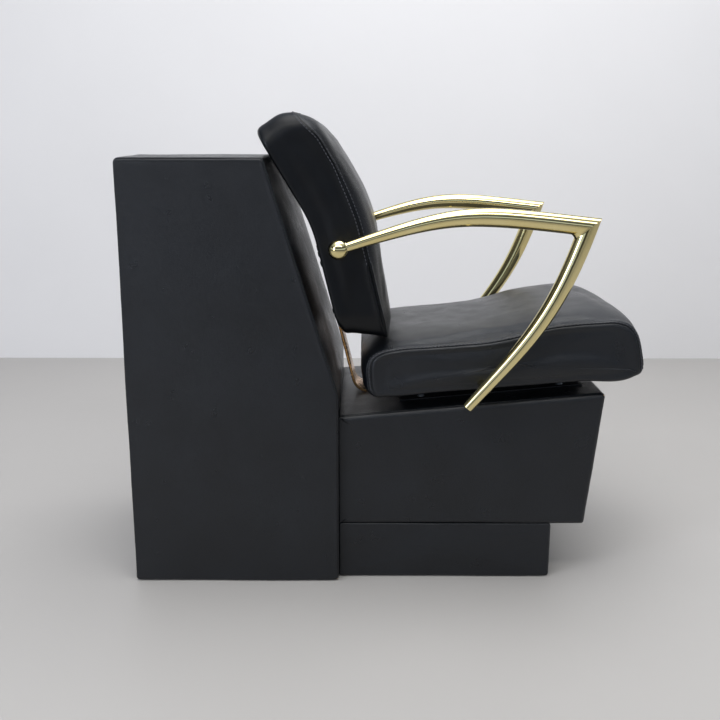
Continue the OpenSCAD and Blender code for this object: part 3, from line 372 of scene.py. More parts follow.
def mesh_normals(mesh: Mesh) -> Array:
    """Reads a mesh's point normals."""
    flat = np.empty(len(mesh.vertices) * 3)
    mesh.vertex_normals.foreach_get("vector", flat)
    return flat.reshape(-1, 3)


def set_points(mesh: Mesh, points: Array) -> None:
    """Writes a mesh's points, in metres."""
    mesh.vertices.foreach_set("co", np.asarray(points, float).ravel())
    mesh.update()


def plain_mesh(source: Object) -> Mesh:
    """The evaluated mesh of an object, as plain data of its own."""
    bpy.context.view_layer.update()
    ready = source.evaluated_get(bpy.context.evaluated_depsgraph_get())
    return bpy.data.meshes.new_from_object(ready)


def settle(piece: Object, slot: Slot, *nodes: str) -> Object:
    """Rides a piece on the chair, hides the nodes that it stands for and names them in the log."""
    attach(piece, CHAIR)
    if nodes:
        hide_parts(*nodes)
    count, stands_for = len(piece.data.vertices), ", ".join(nodes) or "itself"
    log.info("%s: %d points, stands for %s", piece.name, count, stands_for)
    return piece


# ---------------------------------------------------------------- finishes


def srgb(colour: str) -> Colour:
    """Turns a hex colour into linear values."""
    parts = [int(colour.lstrip("#")[i : i + 2], 16) / 255 for i in (0, 2, 4)]
    line = [c / 12.92 if c <= 0.04045 else ((c + 0.055) / 1.055) ** 2.4 for c in parts]
    return (line[0], line[1], line[2], 1.0)


def add_node(
    tree: Tree, kind: str, props: dict | None = None, values: dict | None = None, links: dict | None = None
) -> Node:
    """Adds one node with its settings and links.

    Args:
        tree: the tree that gets it.
        kind: the node's type.
        props: attributes to set.
        values: socket values, by the input's name or number.
        links: output sockets to join, by the input's name or number.

    Returns:
        The new node.
    """
    made = tree.nodes.new(kind)
    for key, value in (props or {}).items():
        setattr(made, key, value)
    for key, value in (values or {}).items():
        made.inputs[key].default_value = value
    for key, socket in (links or {}).items():
        tree.links.new(socket, made.inputs[key])
    return made


class Shade:
    """A material in the making: its tree, its shader, its coordinates in metres and common nodes."""

    def __init__(self, name: str) -> None:
        self.material = bpy.data.materials.new(name)
        self.material.use_nodes = True
        self.tree = self.material.node_tree
        self.tree.nodes.clear()
        self.shader = add_node(self.tree, "ShaderNodeBsdfPrincipled")
        add_node(self.tree, "ShaderNodeOutputMaterial", links={"Surface": self.shader.outputs["BSDF"]})
        self.place = add_node(self.tree, "ShaderNodeTexCoord").outputs["Object"]

    def noise(self, scale: float, detail: float) -> Socket:
        """Cloudy noise at the object's coordinates."""
        values = {"Scale": scale, "Detail": detail}
        return add_node(self.tree, "ShaderNodeTexNoise", {}, values, {"Vector": self.place}).outputs["Fac"]

    def calc(self, operation: str, values: dict, links: dict) -> Socket:
        """One sum on numbers."""
        props = {"operation": operation}
        return add_node(self.tree, "ShaderNodeMath", props, values, links).outputs["Value"]

    def span(
        self, value: Socket, low: float, high: float, to: Sequence[float] = (0.0, 1.0), kind: str = "LINEAR"
    ) -> Socket:
        """Maps the range from low to high to another one."""
        values = {"From Min": low, "From Max": high, "To Min": to[0], "To Max": to[1]}
        props = {"interpolation_type": kind}
        return add_node(self.tree, "ShaderNodeMapRange", props, values, {"Value": value}).outputs["Result"]

    def colour(self, first: Colour, second: Colour, share: Socket) -> None:
        """Colours the surface between two tones."""
        props, values = {"data_type": "RGBA"}, {6: first, 7: second}
        mixed = add_node(self.tree, "ShaderNodeMix", props, values, {0: share})
        self.tree.links.new(mixed.outputs[2], self.shader.inputs["Base Color"])

    def roughness(self, value: Socket) -> None:
        """Lets a socket rule the roughness."""
        self.tree.links.new(value, self.shader.inputs["Roughness"])

    def relief(self, height: Socket, strength: float, relief_mm: float) -> None:
        """Raises the surface by a height of so many millimetres."""
        values = {"Strength": strength, "Distance": relief_mm * MM}
        bump = add_node(self.tree, "ShaderNodeBump", {}, values, {"Height": height})
        self.tree.links.new(bump.outputs["Normal"], self.shader.inputs["Normal"])


@dataclass(frozen=True)
class Vinyl:
    """Upholstery vinyl: calendered PVC with an embossed fine leather grain and a satin top coat.

    It gives the eye a soft, slightly blue sheen with a barely visible grain.
    """

    name: str = "upholstery_vinyl"
    dark: str = "#050608"
    light: str = "#171b21"
    roughness: tuple[float, float] = (0.27, 0.37)
    # Real grain is about 0.8 mm; it is drawn at 1.7 mm so that it shows at this size
    grain_mm: float = 1.7
    pore_mm: float = 1.1
    relief_mm: float = 0.24
    ior: float = 1.46

    def build(self) -> Material:
        """Makes the material."""
        shade = Shade(self.name)
        cells = add_node(
            shade.tree,
            "ShaderNodeTexVoronoi",
            {"feature": "DISTANCE_TO_EDGE"},
            {"Scale": 1 / (self.grain_mm * MM), "Randomness": 1.0},
            {"Vector": shade.place},
        )
        crease = shade.span(cells.outputs["Distance"], 0.0, 0.16, kind="SMOOTHSTEP")
        pores = shade.noise(1 / (self.pore_mm * MM), 2.0)
        height = shade.calc("MULTIPLY_ADD", {1: 0.35}, {0: pores, 2: crease})
        # Painted shade: the grain's creases are darker and its raised grain lighter, by more in some places
        # than in others
        grain_shade = shade.calc("MULTIPLY", {}, {0: shade.noise(9.0, 4.0), 1: height})
        shade.colour(srgb(self.dark), srgb(self.light), grain_shade)
        shade.roughness(shade.span(shade.noise(28.0, 5.0), 0.3, 0.7, self.roughness))
        shade.relief(height, 0.5, self.relief_mm)
        shade.shader.inputs["IOR"].default_value = self.ior
        return shade.material


@dataclass(frozen=True)
class PlatedSteel:
    """Pale gold plating on polished steel.

    It gives the eye sharp bright streaks with dark bands, broken by slight waves in the tube.
    """

    name: str = "gold_plated_steel"
    pale: str = "#ebdfac"
    deep: str = "#dcca8a"
    roughness: tuple[float, float] = (0.025, 0.06)

    def build(self) -> Material:
        """Makes the material."""
        shade = Shade(self.name)
        shade.colour(srgb(self.pale), srgb(self.deep), shade.noise(14.0, 3.0))
        shade.roughness(shade.span(shade.noise(60.0, 6.0), 0.3, 0.7, self.roughness))
        # Hand polishing leaves the tube slightly wavy, which breaks its streaks up
        shade.relief(shade.noise(55.0, 3.0), 0.2, 0.5)
        shade.shader.inputs["Metallic"].default_value = 1.0
        return shade.material


@dataclass(frozen=True)
class GrainedFinish:
    """Any finish of two tones with a stretched grain: wood, board, paint, cloth or plating.

    What each gives the eye is said where it is used.
    """

    name: str
    first: str
    second: str
    roughness: float
    # Size of the grain along X, Y and Z
    grain_mm: tuple[float, float, float]
    relief_mm: float = 0.05
    relief: float = 0.3
    metallic: float = 0.0
    detail: float = 5.0
    contrast: tuple[float, float] = (0.35, 0.65)

    def build(self) -> Material:
        """Makes the material."""
        shade = Shade(self.name)
        scale = tuple(1 / (size * MM) for size in self.grain_mm)
        stretch = add_node(shade.tree, "ShaderNodeMapping", {}, {"Scale": scale}, {"Vector": shade.place})
        grain = add_node(
            shade.tree,
            "ShaderNodeTexNoise",
            {},
            {"Scale": 1.0, "Detail": self.detail, "Roughness": 0.62},
            {"Vector": stretch.outputs["Vector"]},
        ).outputs["Fac"]
        shade.colour(srgb(self.first), srgb(self.second), shade.span(grain, *self.contrast))
        rough = (self.roughness * 0.85, min(1.0, self.roughness * 1.15))
        shade.roughness(shade.span(grain, 0.0, 1.0, rough))
        shade.relief(grain, self.relief, self.relief_mm)
        shade.shader.inputs["Metallic"].default_value = self.metallic
        return shade.material


def made_by(finish: Vinyl | PlatedSteel | GrainedFinish) -> Material:
    """A field whose value is built when the finishes are."""
    return field(default_factory=finish.build)


@dataclass
class Finishes:
    """All the chair's finishes, each made once."""

    vinyl: Material = made_by(Vinyl())
    # The backrest takes a smoother, less glossy copy of the vinyl, whose darker colour is painted shade:
    # nearly black but for its edges
    shaded_back_vinyl: Material = made_by(
        Vinyl("backrest_vinyl", "#030405", "#0c0e12", (0.28, 0.36), relief_mm=0.12, ior=1.32)
    )
    gold: Material = made_by(PlatedSteel())
    # The flat bar is plated over a brushed face, so it is warmer and duller than the tubes
    bar_gold: Material = made_by(PlatedSteel("gold_plated_flat_bar", "#dcb27a", "#c2905a", (0.2, 0.3)))
    # Birch plywood, sanded: pale with a long faint grain
    plywood: Material = made_by(
        GrainedFinish("birch_plywood", "#c9a873", "#b08d5a", 0.6, (14, 14, 160), 0.08)
    )
    # Beech, planed: warmer, with short flecks
    hardwood: Material = made_by(
        GrainedFinish("planed_beech", "#b98f5c", "#9d7447", 0.55, (5, 5, 40), 0.06)
    )
    # Oil-hardened board, painted black: matt with a fibrous mottle
    board: Material = made_by(
        GrainedFinish("black_hardboard", "#151517", "#232326", 0.62, (3, 3, 3), 0.12)
    )
    # Powder coat on steel: black with an orange-peel surface
    steel: Material = made_by(
        GrainedFinish("black_powder_coat", "#121213", "#1b1b1d", 0.42, (0.9, 0.9, 0.9), 0.12)
    )
    # Bright zinc plating: grey metal with a faint cloudiness
    zinc: Material = made_by(
        GrainedFinish("bright_zinc", "#c3c7ca", "#9fa4a8", 0.32, (4, 4, 4), 0.02, 0.15, 1.0)
    )
    # Moulded nylon: black, satin, with a light moulded texture
    plastic: Material = made_by(
        GrainedFinish("black_nylon", "#0e0e0f", "#161617", 0.45, (0.7, 0.7, 0.7), 0.05)
    )
    # Spun-bonded dust cloth: dull black with a fuzzy cross grain
    cloth: Material = made_by(
        GrainedFinish("spunbond_cloth", "#0d0d0e", "#1d1d1f", 0.9, (0.8, 3.5, 0.8), 0.2, 0.6)
    )
    # Bonded polyester thread: dark grey with a twist too fine to show but for its sheen
    thread: Material = made_by(
        GrainedFinish("polyester_thread", "#26282d", "#3c3e45", 0.5, (0.35, 0.35, 0.35), 0.08)
    )


# Which finish each node of the assembly keeps
NODE_FINISH: dict[str, tuple[str, ...]] = {
    "plywood": (
        "cabinet_right_side", "cabinet_left_side", "cabinet_top", "cabinet_slope", "cabinet_front",
        "seat_box_right_side", "seat_box_left_side", "seat_box_top", "seat_box_front", "seat_box_bottom",
        "seat_box_rear", "plinth_right_side", "plinth_left_side", "plinth_front", "seat_board",
        "backrest_board",
    ),
    "hardwood": ("cabinet_corner_blocks", "cabinet_cleats", "plinth_corner_blocks", "backrest_side_blocks"),
    "board": ("cabinet_back_panel",),
    "steel": ("seat_rail_right", "seat_rail_left"),
    "zinc": (
        "box_joining_bolts", "box_joining_nuts", "plinth_screws", "glide_sockets", "seat_base_bolts",
        "seat_base_nuts", "seat_rail_bolts", "seat_board_inserts", "backrest_inserts", "arm_rear_studs",
        "arm_seat_studs", "arm_barrel_nuts",
    ),
    "gold": ("arm_end_plugs",),
    "plastic": (
        "glide_rear_right", "glide_rear_left", "glide_middle_right", "glide_middle_left",
        "glide_front_right", "glide_front_left",
    ),
}


def dress_nodes(finishes: Finishes, nodes: dict[str, Object]) -> None:
    """Gives the nodes that stay in view their finishes."""
    for finish, names in NODE_FINISH.items():
        for name in names:
            for holder in nodes[name].material_slots:
                holder.material = getattr(finishes, finish)
        log.info("%s: %d nodes", finish, len(names))


# ---------------------------------------------------------------- repeated pieces


def new_tree(name: str, inputs: dict[str, str]) -> tuple[Tree, Node]:
    """Starts a geometry tree with named inputs after its geometry."""
    tree = bpy.data.node_groups.new(name, "GeometryNodeTree")
    tree.interface.new_socket("Geometry", in_out="INPUT", socket_type="NodeSocketGeometry")
    tree.interface.new_socket("Geometry", in_out="OUTPUT", socket_type="NodeSocketGeometry")
    for label, kind in inputs.items():
        tree.interface.new_socket(label, in_out="INPUT", socket_type=kind)
    return tree, add_node(tree, "NodeGroupInput")


def stored(tree: Tree, label: str) -> Socket:
    """A direction that is stored on the points."""
    kind = "GeometryNodeInputNamedAttribute"
    return add_node(tree, kind, {"data_type": "FLOAT_VECTOR"}, {"Name": label}).outputs["Attribute"]


def facing(tree: Tree, a: Socket, b: Socket) -> Socket:
    """Rotation that turns X along a, then Z towards b."""
    kind = "FunctionNodeAlignRotationToVector"
    first = add_node(tree, kind, {"axis": "X"}, {}, {"Vector": a}).outputs["Rotation"]
    links = {"Rotation": first, "Vector": b}
    return add_node(tree, kind, {"axis": "Z", "pivot_axis": "X"}, {}, links).outputs["Rotation"]


def end_tree(tree: Tree, points: Socket, instance: Socket, rotation: Socket, finish: Socket) -> Tree:
    """Puts an instance on every point, realises them all and sets their material."""
    links = {"Points": points, "Instance": instance, "Rotation": rotation}
    placed = add_node(tree, "GeometryNodeInstanceOnPoints", links=links).outputs["Instances"]
    real = add_node(tree, "GeometryNodeRealizeInstances", links={"Geometry": placed}).outputs["Geometry"]
    coated = add_node(tree, "GeometryNodeSetMaterial", links={"Geometry": real, "Material": finish})
    add_node(tree, "NodeGroupOutput", links={"Geometry": coated.outputs["Geometry"]})
    return tree


def stitch_tree() -> Tree:
    """Stitches at an even pitch along a path whose points carry the surface's outward direction."""
    inputs = {"Pitch": "NodeSocketFloat", "Stitch Size": "NodeSocketVector", "Thread": "NodeSocketMaterial"}
    tree, given = new_tree("stitch_row", inputs)
    links = {"Mesh": given.outputs["Geometry"]}
    path = add_node(tree, "GeometryNodeMeshToCurve", links=links).outputs["Curve"]
    links = {"Curve": path, "Length": given.outputs["Pitch"]}
    steps = add_node(tree, "GeometryNodeResampleCurve", {"mode": "LENGTH"}, {}, links).outputs["Curve"]
    values = {"Segments": 8, "Rings": 5, "Radius": 1.0}
    bead = add_node(tree, "GeometryNodeMeshUVSphere", {}, values).outputs["Mesh"]
    links = {"Geometry": bead, "Scale": given.outputs["Stitch Size"]}
    stitch = add_node(tree, "GeometryNodeTransform", links=links).outputs["Geometry"]
    tangent = add_node(tree, "GeometryNodeInputTangent").outputs["Tangent"]
    turn = facing(tree, tangent, stored(tree, "outward"))
    return end_tree(tree, steps, stitch, turn, given.outputs["Thread"])


def scatter_tree() -> Tree:
    """One pattern piece on every point, its Z along the outward direction and its turn picked by a seed."""
    tree, given = new_tree(
        "pieces_on_points",
        {
            "Pattern": "NodeSocketObject",
            "Most Turn": "NodeSocketFloat",
            "Seed": "NodeSocketInt",
            "Finish": "NodeSocketMaterial",
        },
    )
    pattern = add_node(tree, "GeometryNodeObjectInfo", links={"Object": given.outputs["Pattern"]})
    turn = facing(tree, stored(tree, "along"), stored(tree, "outward"))
    links = {3: given.outputs["Most Turn"], "Seed": given.outputs["Seed"]}
    spin = add_node(tree, "FunctionNodeRandomValue", {"data_type": "FLOAT"}, {}, links).outputs[1]
    values = {"Axis": (0.0, 0.0, 1.0)}
    about = add_node(tree, "FunctionNodeAxisAngleToRotation", {}, values, {"Angle": spin})
    links = {"Rotation": turn, "Rotate By": about.outputs["Rotation"]}
    both = add_node(tree, "FunctionNodeRotateRotation", {"rotation_space": "LOCAL"}, {}, links)
    points, instance = given.outputs["Geometry"], pattern.outputs["Geometry"]
    return end_tree(tree, points, instance, both.outputs["Rotation"], given.outputs["Finish"])


def grow(
    name: str,
    tree: Tree,
    paths: Sequence[Path],
    inputs: dict[str, object],
    material: Material,
    along: Array | None = None,
) -> Object:
    """Runs a geometry tree on paths or points and keeps the plain mesh.

    Args:
        name: the new piece's name.
        tree: the geometry tree.
        paths: points in metres, and their outward directions.
        inputs: the tree's inputs by name.
        material: the finish.
        along: direction of the pattern's X on loose points, or None where the points join in paths.

    Returns:
        A plain object with the modifier gone.
    """
    edges: list[tuple[int, int]] = []
    first = 0
    for spots, _ in paths:
        if along is None:
            edges += [(k, k + 1) for k in range(first, first + len(spots) - 1)]
        first += len(spots)
    mesh = bpy.data.meshes.new(name + "_path")
    mesh.from_pydata(np.concatenate([spots for spots, _ in paths]).tolist(), edges, [])
    store = mesh.attributes.new("outward", "FLOAT_VECTOR", "POINT")
    store.data.foreach_set("vector", np.concatenate([normals for _, normals in paths]).ravel())
    if along is not None:
        store = mesh.attributes.new("along", "FLOAT_VECTOR", "POINT")
        store.data.foreach_set("vector", np.tile(along, len(mesh.vertices)))
    guide = link(bpy.data.objects.new(name + "_guide", mesh))
    modifier = guide.modifiers.new("grow", "NODES")
    modifier.node_group = tree
    for item in tree.interface.items_tree:
        if item.item_type == "SOCKET" and item.in_out == "INPUT" and item.name in inputs:
            modifier[item.identifier] = inputs[item.name]
    plain = plain_mesh(guide)
    bpy.data.objects.remove(guide)
    return finish_mesh(name, plain, material, 40)


def stitches(name: str, paths: Sequence[Path], finishes: Finishes) -> Object:
    """Rows of thread stitches along paths."""
    inputs = {"Pitch": 0.0066, "Stitch Size": (0.0026, 0.0010, 0.0008), "Thread": finishes.thread}
    return settle(grow(name, stitch_tree(), paths, inputs, finishes.thread), Slot.VINYL)


def fasteners(
    name: str, node: str, pattern: Object, points: Array, way: Array, seed: int, finishes: Finishes
) -> Object:
    """Puts one pattern on every place.

    Args:
        name: the new piece's name.
        node: the node that it stands for.
        pattern: the fastener, which is used up.
        points: where the heads' seats are, in metres.
        way: direction out of the surface.
        seed: picks how far each is turned.
        finishes: the chair's finishes.

    Returns:
        The settled piece.
    """
    inputs = {"Pattern": pattern, "Most Turn": 6.28, "Seed": seed, "Finish": finishes.steel}
    paths = [(points, np.tile(way, (len(points), 1)))]
    piece = grow(name, scatter_tree(), paths, inputs, finishes.steel, ACROSS)
    bpy.data.objects.remove(pattern)
    return settle(piece, Slot.STEEL, node)


# ---------------------------------------------------------------- sewn edges


@dataclass(frozen=True)
class SewnEdge:
    """Cross-section where a side panel meets a band: a rounding with a seam in it.

    a is the distance along the cross-section from the seam, below 0 on the side panel. The
    inset is measured in the side panel's plane and the depth away from it.
    """

    radius: float
    seam_turn: float
    groove: float = 1.5
    groove_half: float = 1.1
    ridge: float = 0.35
    ridge_at: float = 4.0
    reach: tuple[float, ...] = (7.0, 5.2, 4.0, 2.9, 2.0, 1.3, 0.7, 0.3)

    @property
    def side_run(self) -> float:
        """Length of the rounding on the side panel."""
        return self.radius * math.radians(self.seam_turn)

    @property
    def band_run(self) -> float:
        """Length of the rounding on the band."""
        return self.radius * math.radians(90 - self.seam_turn)

    def stations(self) -> list[float]:
        """Distances along the cross-section, close together at the seam."""
        span = np.linspace(-self.side_run, self.band_run, 9).tolist()
        fine = [-a for a in self.reach] + [0.0] + list(self.reach)
        out: list[float] = []
        for a in sorted(fine + [b for b in span if abs(b) > max(self.reach) * 0.5]):
            if -self.side_run - 4 <= a <= self.band_run + 4 and (not out or a - out[-1] > 0.25):
                out.append(a)
        return out

    def place(self, a: float) -> tuple[float, float]:
        """Inset and depth at a distance from the seam."""
        if a < -self.side_run:
            return self.radius + (-a - self.side_run), 0.0
        if a > self.band_run:
            return 0.0, self.radius + (a - self.band_run)
        turn = math.radians(self.seam_turn) + a / self.radius
        return self.radius * (1 - math.sin(turn)), self.radius * (1 - math.cos(turn))

    def relief(self, a: float) -> float:
        """How far the surface stands proud of the plain rounding."""
        dip = -self.groove * math.exp(-((a / self.groove_half) ** 2))
        lip = self.ridge * math.exp(-(((abs(a) - self.ridge_at) / 2.2) ** 2))
        return dip + lip


@dataclass
class BoxCover:
    """A vinyl cover over a box: two side panels sewn to one band round the outline.

    Attributes:
        corners: the outline in the side view, counter-clockwise, X and Z.
        rounds: the radius at each corner.
        open_edge: says which points of the outline have no band, only a turned-in hem.
        sewn: says which points of the outline have a seam.
        band_crown: how far the band stands proud at each point of the outline.
        hem_edge: how far from the middle a turned-in hem ends.
    """

    name: str
    node: str
    corners: list[tuple[float, float]]
    rounds: list[float]
    half_width: float
    edge: SewnEdge
    open_edge: Callable[[Array], Array]
    sewn: Callable[[Array], Array]
    seed: int
    side_crown: float = 2.0
    band_crown: Callable[[Array], Array] = lambda loop: np.zeros(len(loop))
    hem_edge: float = 200.3
    hem_round: float = 2.4
    step: float = 6.0
    arc_steps: int = 8
    band_rows: int = 36
    uneven: float = 0.45
    pucker: float = 0.14
    panel_rows: tuple[float, ...] = (0.05, 0.14, 0.24, 0.34, 0.44, 0.54, 0.64, 0.73, 0.81, 0.88, 0.94, 0.98)

    def loop(self, inset: float) -> Array:
        """The outline moved inwards, always with the same number of points."""
        pts = np.array(self.corners, float)
        legs = np.roll(pts, -1, axis=0) - pts
        lengths = np.linalg.norm(legs, axis=1)
        ways = legs / lengths[:, None]
        arcs = []
        for point, u, v, r0 in zip(pts, np.roll(ways, 1, axis=0), ways, self.rounds):
            square_u, square_v = np.array([-u[1], u[0]]), np.array([-v[1], v[0]])
            bend = u[0] * v[1] - u[1] * v[0]
            gap = inset * (square_v - square_u)
            corner = point + inset * square_u + u * (gap[0] * v[1] - gap[1] * v[0]) / bend
            r = max(r0 - inset, 0.05)
            turn = math.atan2(bend, float(u @ v))
            centre = corner - r * math.tan(turn / 2) * u + r * square_u
            start = math.degrees(math.atan2(-u[0], u[1]))
            arcs.append(arc(centre, r, start, self.arc_steps, math.degrees(turn)))
        out = []
        for this, after, length in zip(arcs, arcs[1:] + arcs[:1], lengths):
            out += [this, between(this[-1], after[0], max(2, int(length / self.step)))]
        return np.concatenate(out)

    def build(self, finishes: Finishes) -> Object:
        """Makes the cover."""
        outer = self.loop(0)
        is_open = self.open_edge(outer)
        # The vinyl turns tightly round the board's edge wherever it is only hemmed
        near = np.concatenate([is_open[-4:], is_open, is_open[:4]]).astype(float)
        hemmed = np.convolve(near, np.ones(9) / 9, "valid")
        tight = 1 - (1 - self.hem_round / self.edge.radius) * np.clip(hemmed * 1.6, 0, 1)
        seam = self.sewn(outer)
        out = outward_2d(outer) * self.band_crown(outer)[:, None]
        inner = self.loop(self.edge.radius + 4)
        centre = inner.mean(axis=0)
        # Each row is its outline, its place across the chair and its relief; the left mirrors the right
        right: list[tuple[Array, Array | float, Array | float]] = []
        for k in self.panel_rows:
            y = -self.half_width - self.side_crown * (1 - k**2) ** 1.5
            right.append((centre + (inner - centre) * k, y, 0.0))
        for a in self.edge.stations():
            inset, depth = self.edge.place(a)
            loop = outer + (self.loop(inset) - outer) * tight[:, None]
            right.append((loop, -self.half_width + depth * tight, self.edge.relief(a) * seam))
        limit = self.half_width - self.edge.radius - 5
        inside = min(self.hem_edge, limit - 8)
        last = (limit + inside) / 2
        ys = [-last, *np.linspace(-inside, inside, self.band_rows), last]
        band = [(outer + out * (1 - (y / limit) ** 4), y, 0.0) for y in ys]
        rows = right + band + [(loop, -y, proud) for loop, y, proud in reversed(right)]
        wide = len(outer)
        grid = np.array([across(loop, y) for loop, y, _ in rows])

        def keep(i: int, j: int) -> bool:
            """Leaves the band out wherever the vinyl is only hemmed."""
            panel = i < len(right) - 1 or i >= len(right) + len(band)
            shut = is_open[j] and is_open[(j + 1) % wide]
            return panel or not shut or min(abs(grid[i, 0, 1]), abs(grid[i + 1, 0, 1])) > inside - 0.1

        skin = Skin()
        tip = np.array([centre[0], -self.half_width - self.side_crown, centre[1]])
        skin.shell(grid, keep, (tip, tip * (1, -1, 1)))
        proud = np.array([np.broadcast_to(p, wide) for _, _, p in rows])
        piece = skin.to_object(self.name, finishes.vinyl, 70)
        self.relieve(piece, np.concatenate(skin.points), np.append(proud, [0.0, 0.0]))
        return settle(piece, Slot.VINYL, self.node)

    def relieve(self, piece: Object, points: Array, proud: Array) -> None:
        """Sinks the seams, puckers the vinyl beside them and leaves the panels slightly uneven."""
        tree = search_tree(metres(points))
        now = mesh_points(piece.data)
        amount = proud[[tree.find(p)[1] for p in now]]
        spots = now / MM
        near = np.minimum(1.0, np.abs(amount) * 2)
        soft = (ripple(spots, 150, self.seed) + ripple(spots, 45, self.seed + 1) * 0.25) * self.uneven
        soft = np.maximum(soft, -0.5) + 0.25
        tucks = ripple(spots, 13, self.seed + 2) * self.pucker * near
        amount = amount + tucks + soft * (1 - near)
        set_points(piece.data, now + mesh_normals(piece.data) * (amount * MM)[:, None])


def box_covers() -> list[BoxCover]:
    """The three covers, with their places in the chair."""
    cabinet = BoxCover(
        name="cabinet_upholstery",
        node="cabinet_cover",
        corners=[(-0.5, 2.5), (376, 2.5), (376, 358), (251, 770), (-0.5, 770)],
        rounds=[5, 7, 60, 9, 8],
        half_width=218,
        edge=SewnEdge(4.6, 45.0, groove=1.1, groove_half=0.9),
        open_edge=lambda p: ((p[:, 0] < 0) & (p[:, 1] < 753)) | ((p[:, 1] < 3) & (p[:, 0] < 357)),
        sewn=lambda p: ease(p[:, 0] + p[:, 1] * 0.35, 240, 262) * ease(p[:, 1], 6, 30)
        + (1 - ease(p[:, 0], 150, 230)) * ease(p[:, 1], 762, 769) * ease(p[:, 0], 3, 12),
        band_crown=lambda p: 3.6 * ease(p[:, 1], 764, 769.5) + 1.2 * ease(p[:, 0], 251, 300)
        + 5.0 * ease(p[:, 0], 254, 285) * ease(p[:, 1], 335, 430),
        seed=3,
    )
    seat_box = BoxCover(
        name="seat_box_upholstery",
        node="seat_box_cover",
        corners=[(376, 106), (830, 106), (857, 356.62), (376, 312)],
        rounds=[3, 6, 7, 4],
        half_width=200,
        edge=SewnEdge(9.0, 82.0, groove=1.3),
        open_edge=lambda p: p[:, 0] < 376.5,
        sewn=lambda p: ease(p[:, 1], 300, 308) * ease(p[:, 0], 378, 388),
        band_crown=lambda p: 0.8 * ease(p[:, 1], 290, 311),
        seed=11,
    )
    # The plinth's cover runs up behind the seat box's edge, so that no board shows between them
    plinth = BoxCover(
        name="plinth_upholstery",
        node="plinth_cover",
        corners=[(376, 2.5), (769, 2.5), (769, 106.6), (376, 106.6)],
        rounds=[3, 5, 5.5, 3],
        half_width=198,
        edge=SewnEdge(5.0, 60.0, groove=0.0, ridge=0.0),
        open_edge=lambda p: (p[:, 0] < 376.5) | (p[:, 1] < 3) | (p[:, 1] > 106.2),
        sewn=lambda p: np.zeros(len(p)),
        seed=19,
        uneven=0.3,
    )
    return [cabinet, seat_box, plinth]


# ---------------------------------------------------------------- cushions


@dataclass(frozen=True)
class Swelling:
    """How a coarse copy of a cushion is blown up as sewn cloth, in metres."""

    voxel: float = 0.0065
    pressure: float = 3.2
    frames: int = 20
    # The farthest that a fine point may go, and how wide the coarse moves are smoothed
    most: float = 0.002
    blur: float = 0.012
    neighbours: int = 16
    seam_hold: float = 0.8

    def run(self, shape: Object, held: Callable[[Array], Array]) -> tuple[Array, Array]:
        """Blows the copy up.

        Args:
            shape: the sewn shape, which is left as it is.
            held: weight from 0, free, to 1, fixed, for points in metres.

        Returns:
            The copy's points before, and how far each moved.
        """
        remesh = shape.modifiers.new("coarse", "REMESH")
        remesh.mode = "VOXEL"
        remesh.voxel_size = self.voxel
        mesh = plain_mesh(shape)
        shape.modifiers.remove(remesh)
        pad = link(bpy.data.objects.new(shape.name + "_cloth", mesh))
        before = mesh_points(mesh)
        group = pad.vertex_groups.new(name="held")
        for i, weight in enumerate(held(before)):
            group.add([i], float(weight), "REPLACE")
        cloth = pad.modifiers.new("cloth", "CLOTH")
        settings = {
            "quality": 4,
            "mass": 0.4,
            "tension_stiffness": 18,
            "compression_stiffness": 18,
            "shear_stiffness": 8,
            "bending_stiffness": 1.5,
            "use_pressure": True,
            "uniform_pressure_force": self.pressure,
            "vertex_group_mass": "held",
        }
        for key, value in settings.items():
            setattr(cloth.settings, key, value)
        cloth.settings.effector_weights.gravity = 0
        cloth.point_cache.frame_start = 1
        cloth.point_cache.frame_end = self.frames
        for frame in range(1, self.frames + 1):
            bpy.context.scene.frame_set(frame)
        after = mesh_points(plain_mesh(pad))
        bpy.data.objects.remove(pad)
        bpy.context.scene.frame_set(1)
        return before, after - before

    def lay(self, points: Array, normals: Array, before: Array, moves: Array, free: Array) -> Array:
        """Carries the coarse cloth's swelling over to a fine mesh.

        The panels keep their mean place, as if the blowing up had started from a smaller shape,
        and the seams and the board hold their points back.

        Args:
            points: the fine mesh, in metres.
            normals: its outward directions.
            before: the coarse points before they moved.
            moves: how far each moved.
            free: share of the swelling that each fine point follows.

        Returns:
            One move for each fine point, along its normal.
        """
        tree = search_tree(before)
        swell = np.zeros(len(points))
        for i, p in enumerate(points):
            near = tree.find_n(p, self.neighbours)
            weights = np.array([math.exp(-((d / self.blur) ** 2)) + 1e-9 for _, _, d in near])
            mean = (moves[[k for _, k, _ in near]] * weights[:, None]).sum(axis=0) / weights.sum()
            swell[i] = float(mean @ normals[i])
        swell -= np.median(swell[free > 0.9])
        return normals * (self.most * np.tanh(swell / self.most) * free)[:, None]


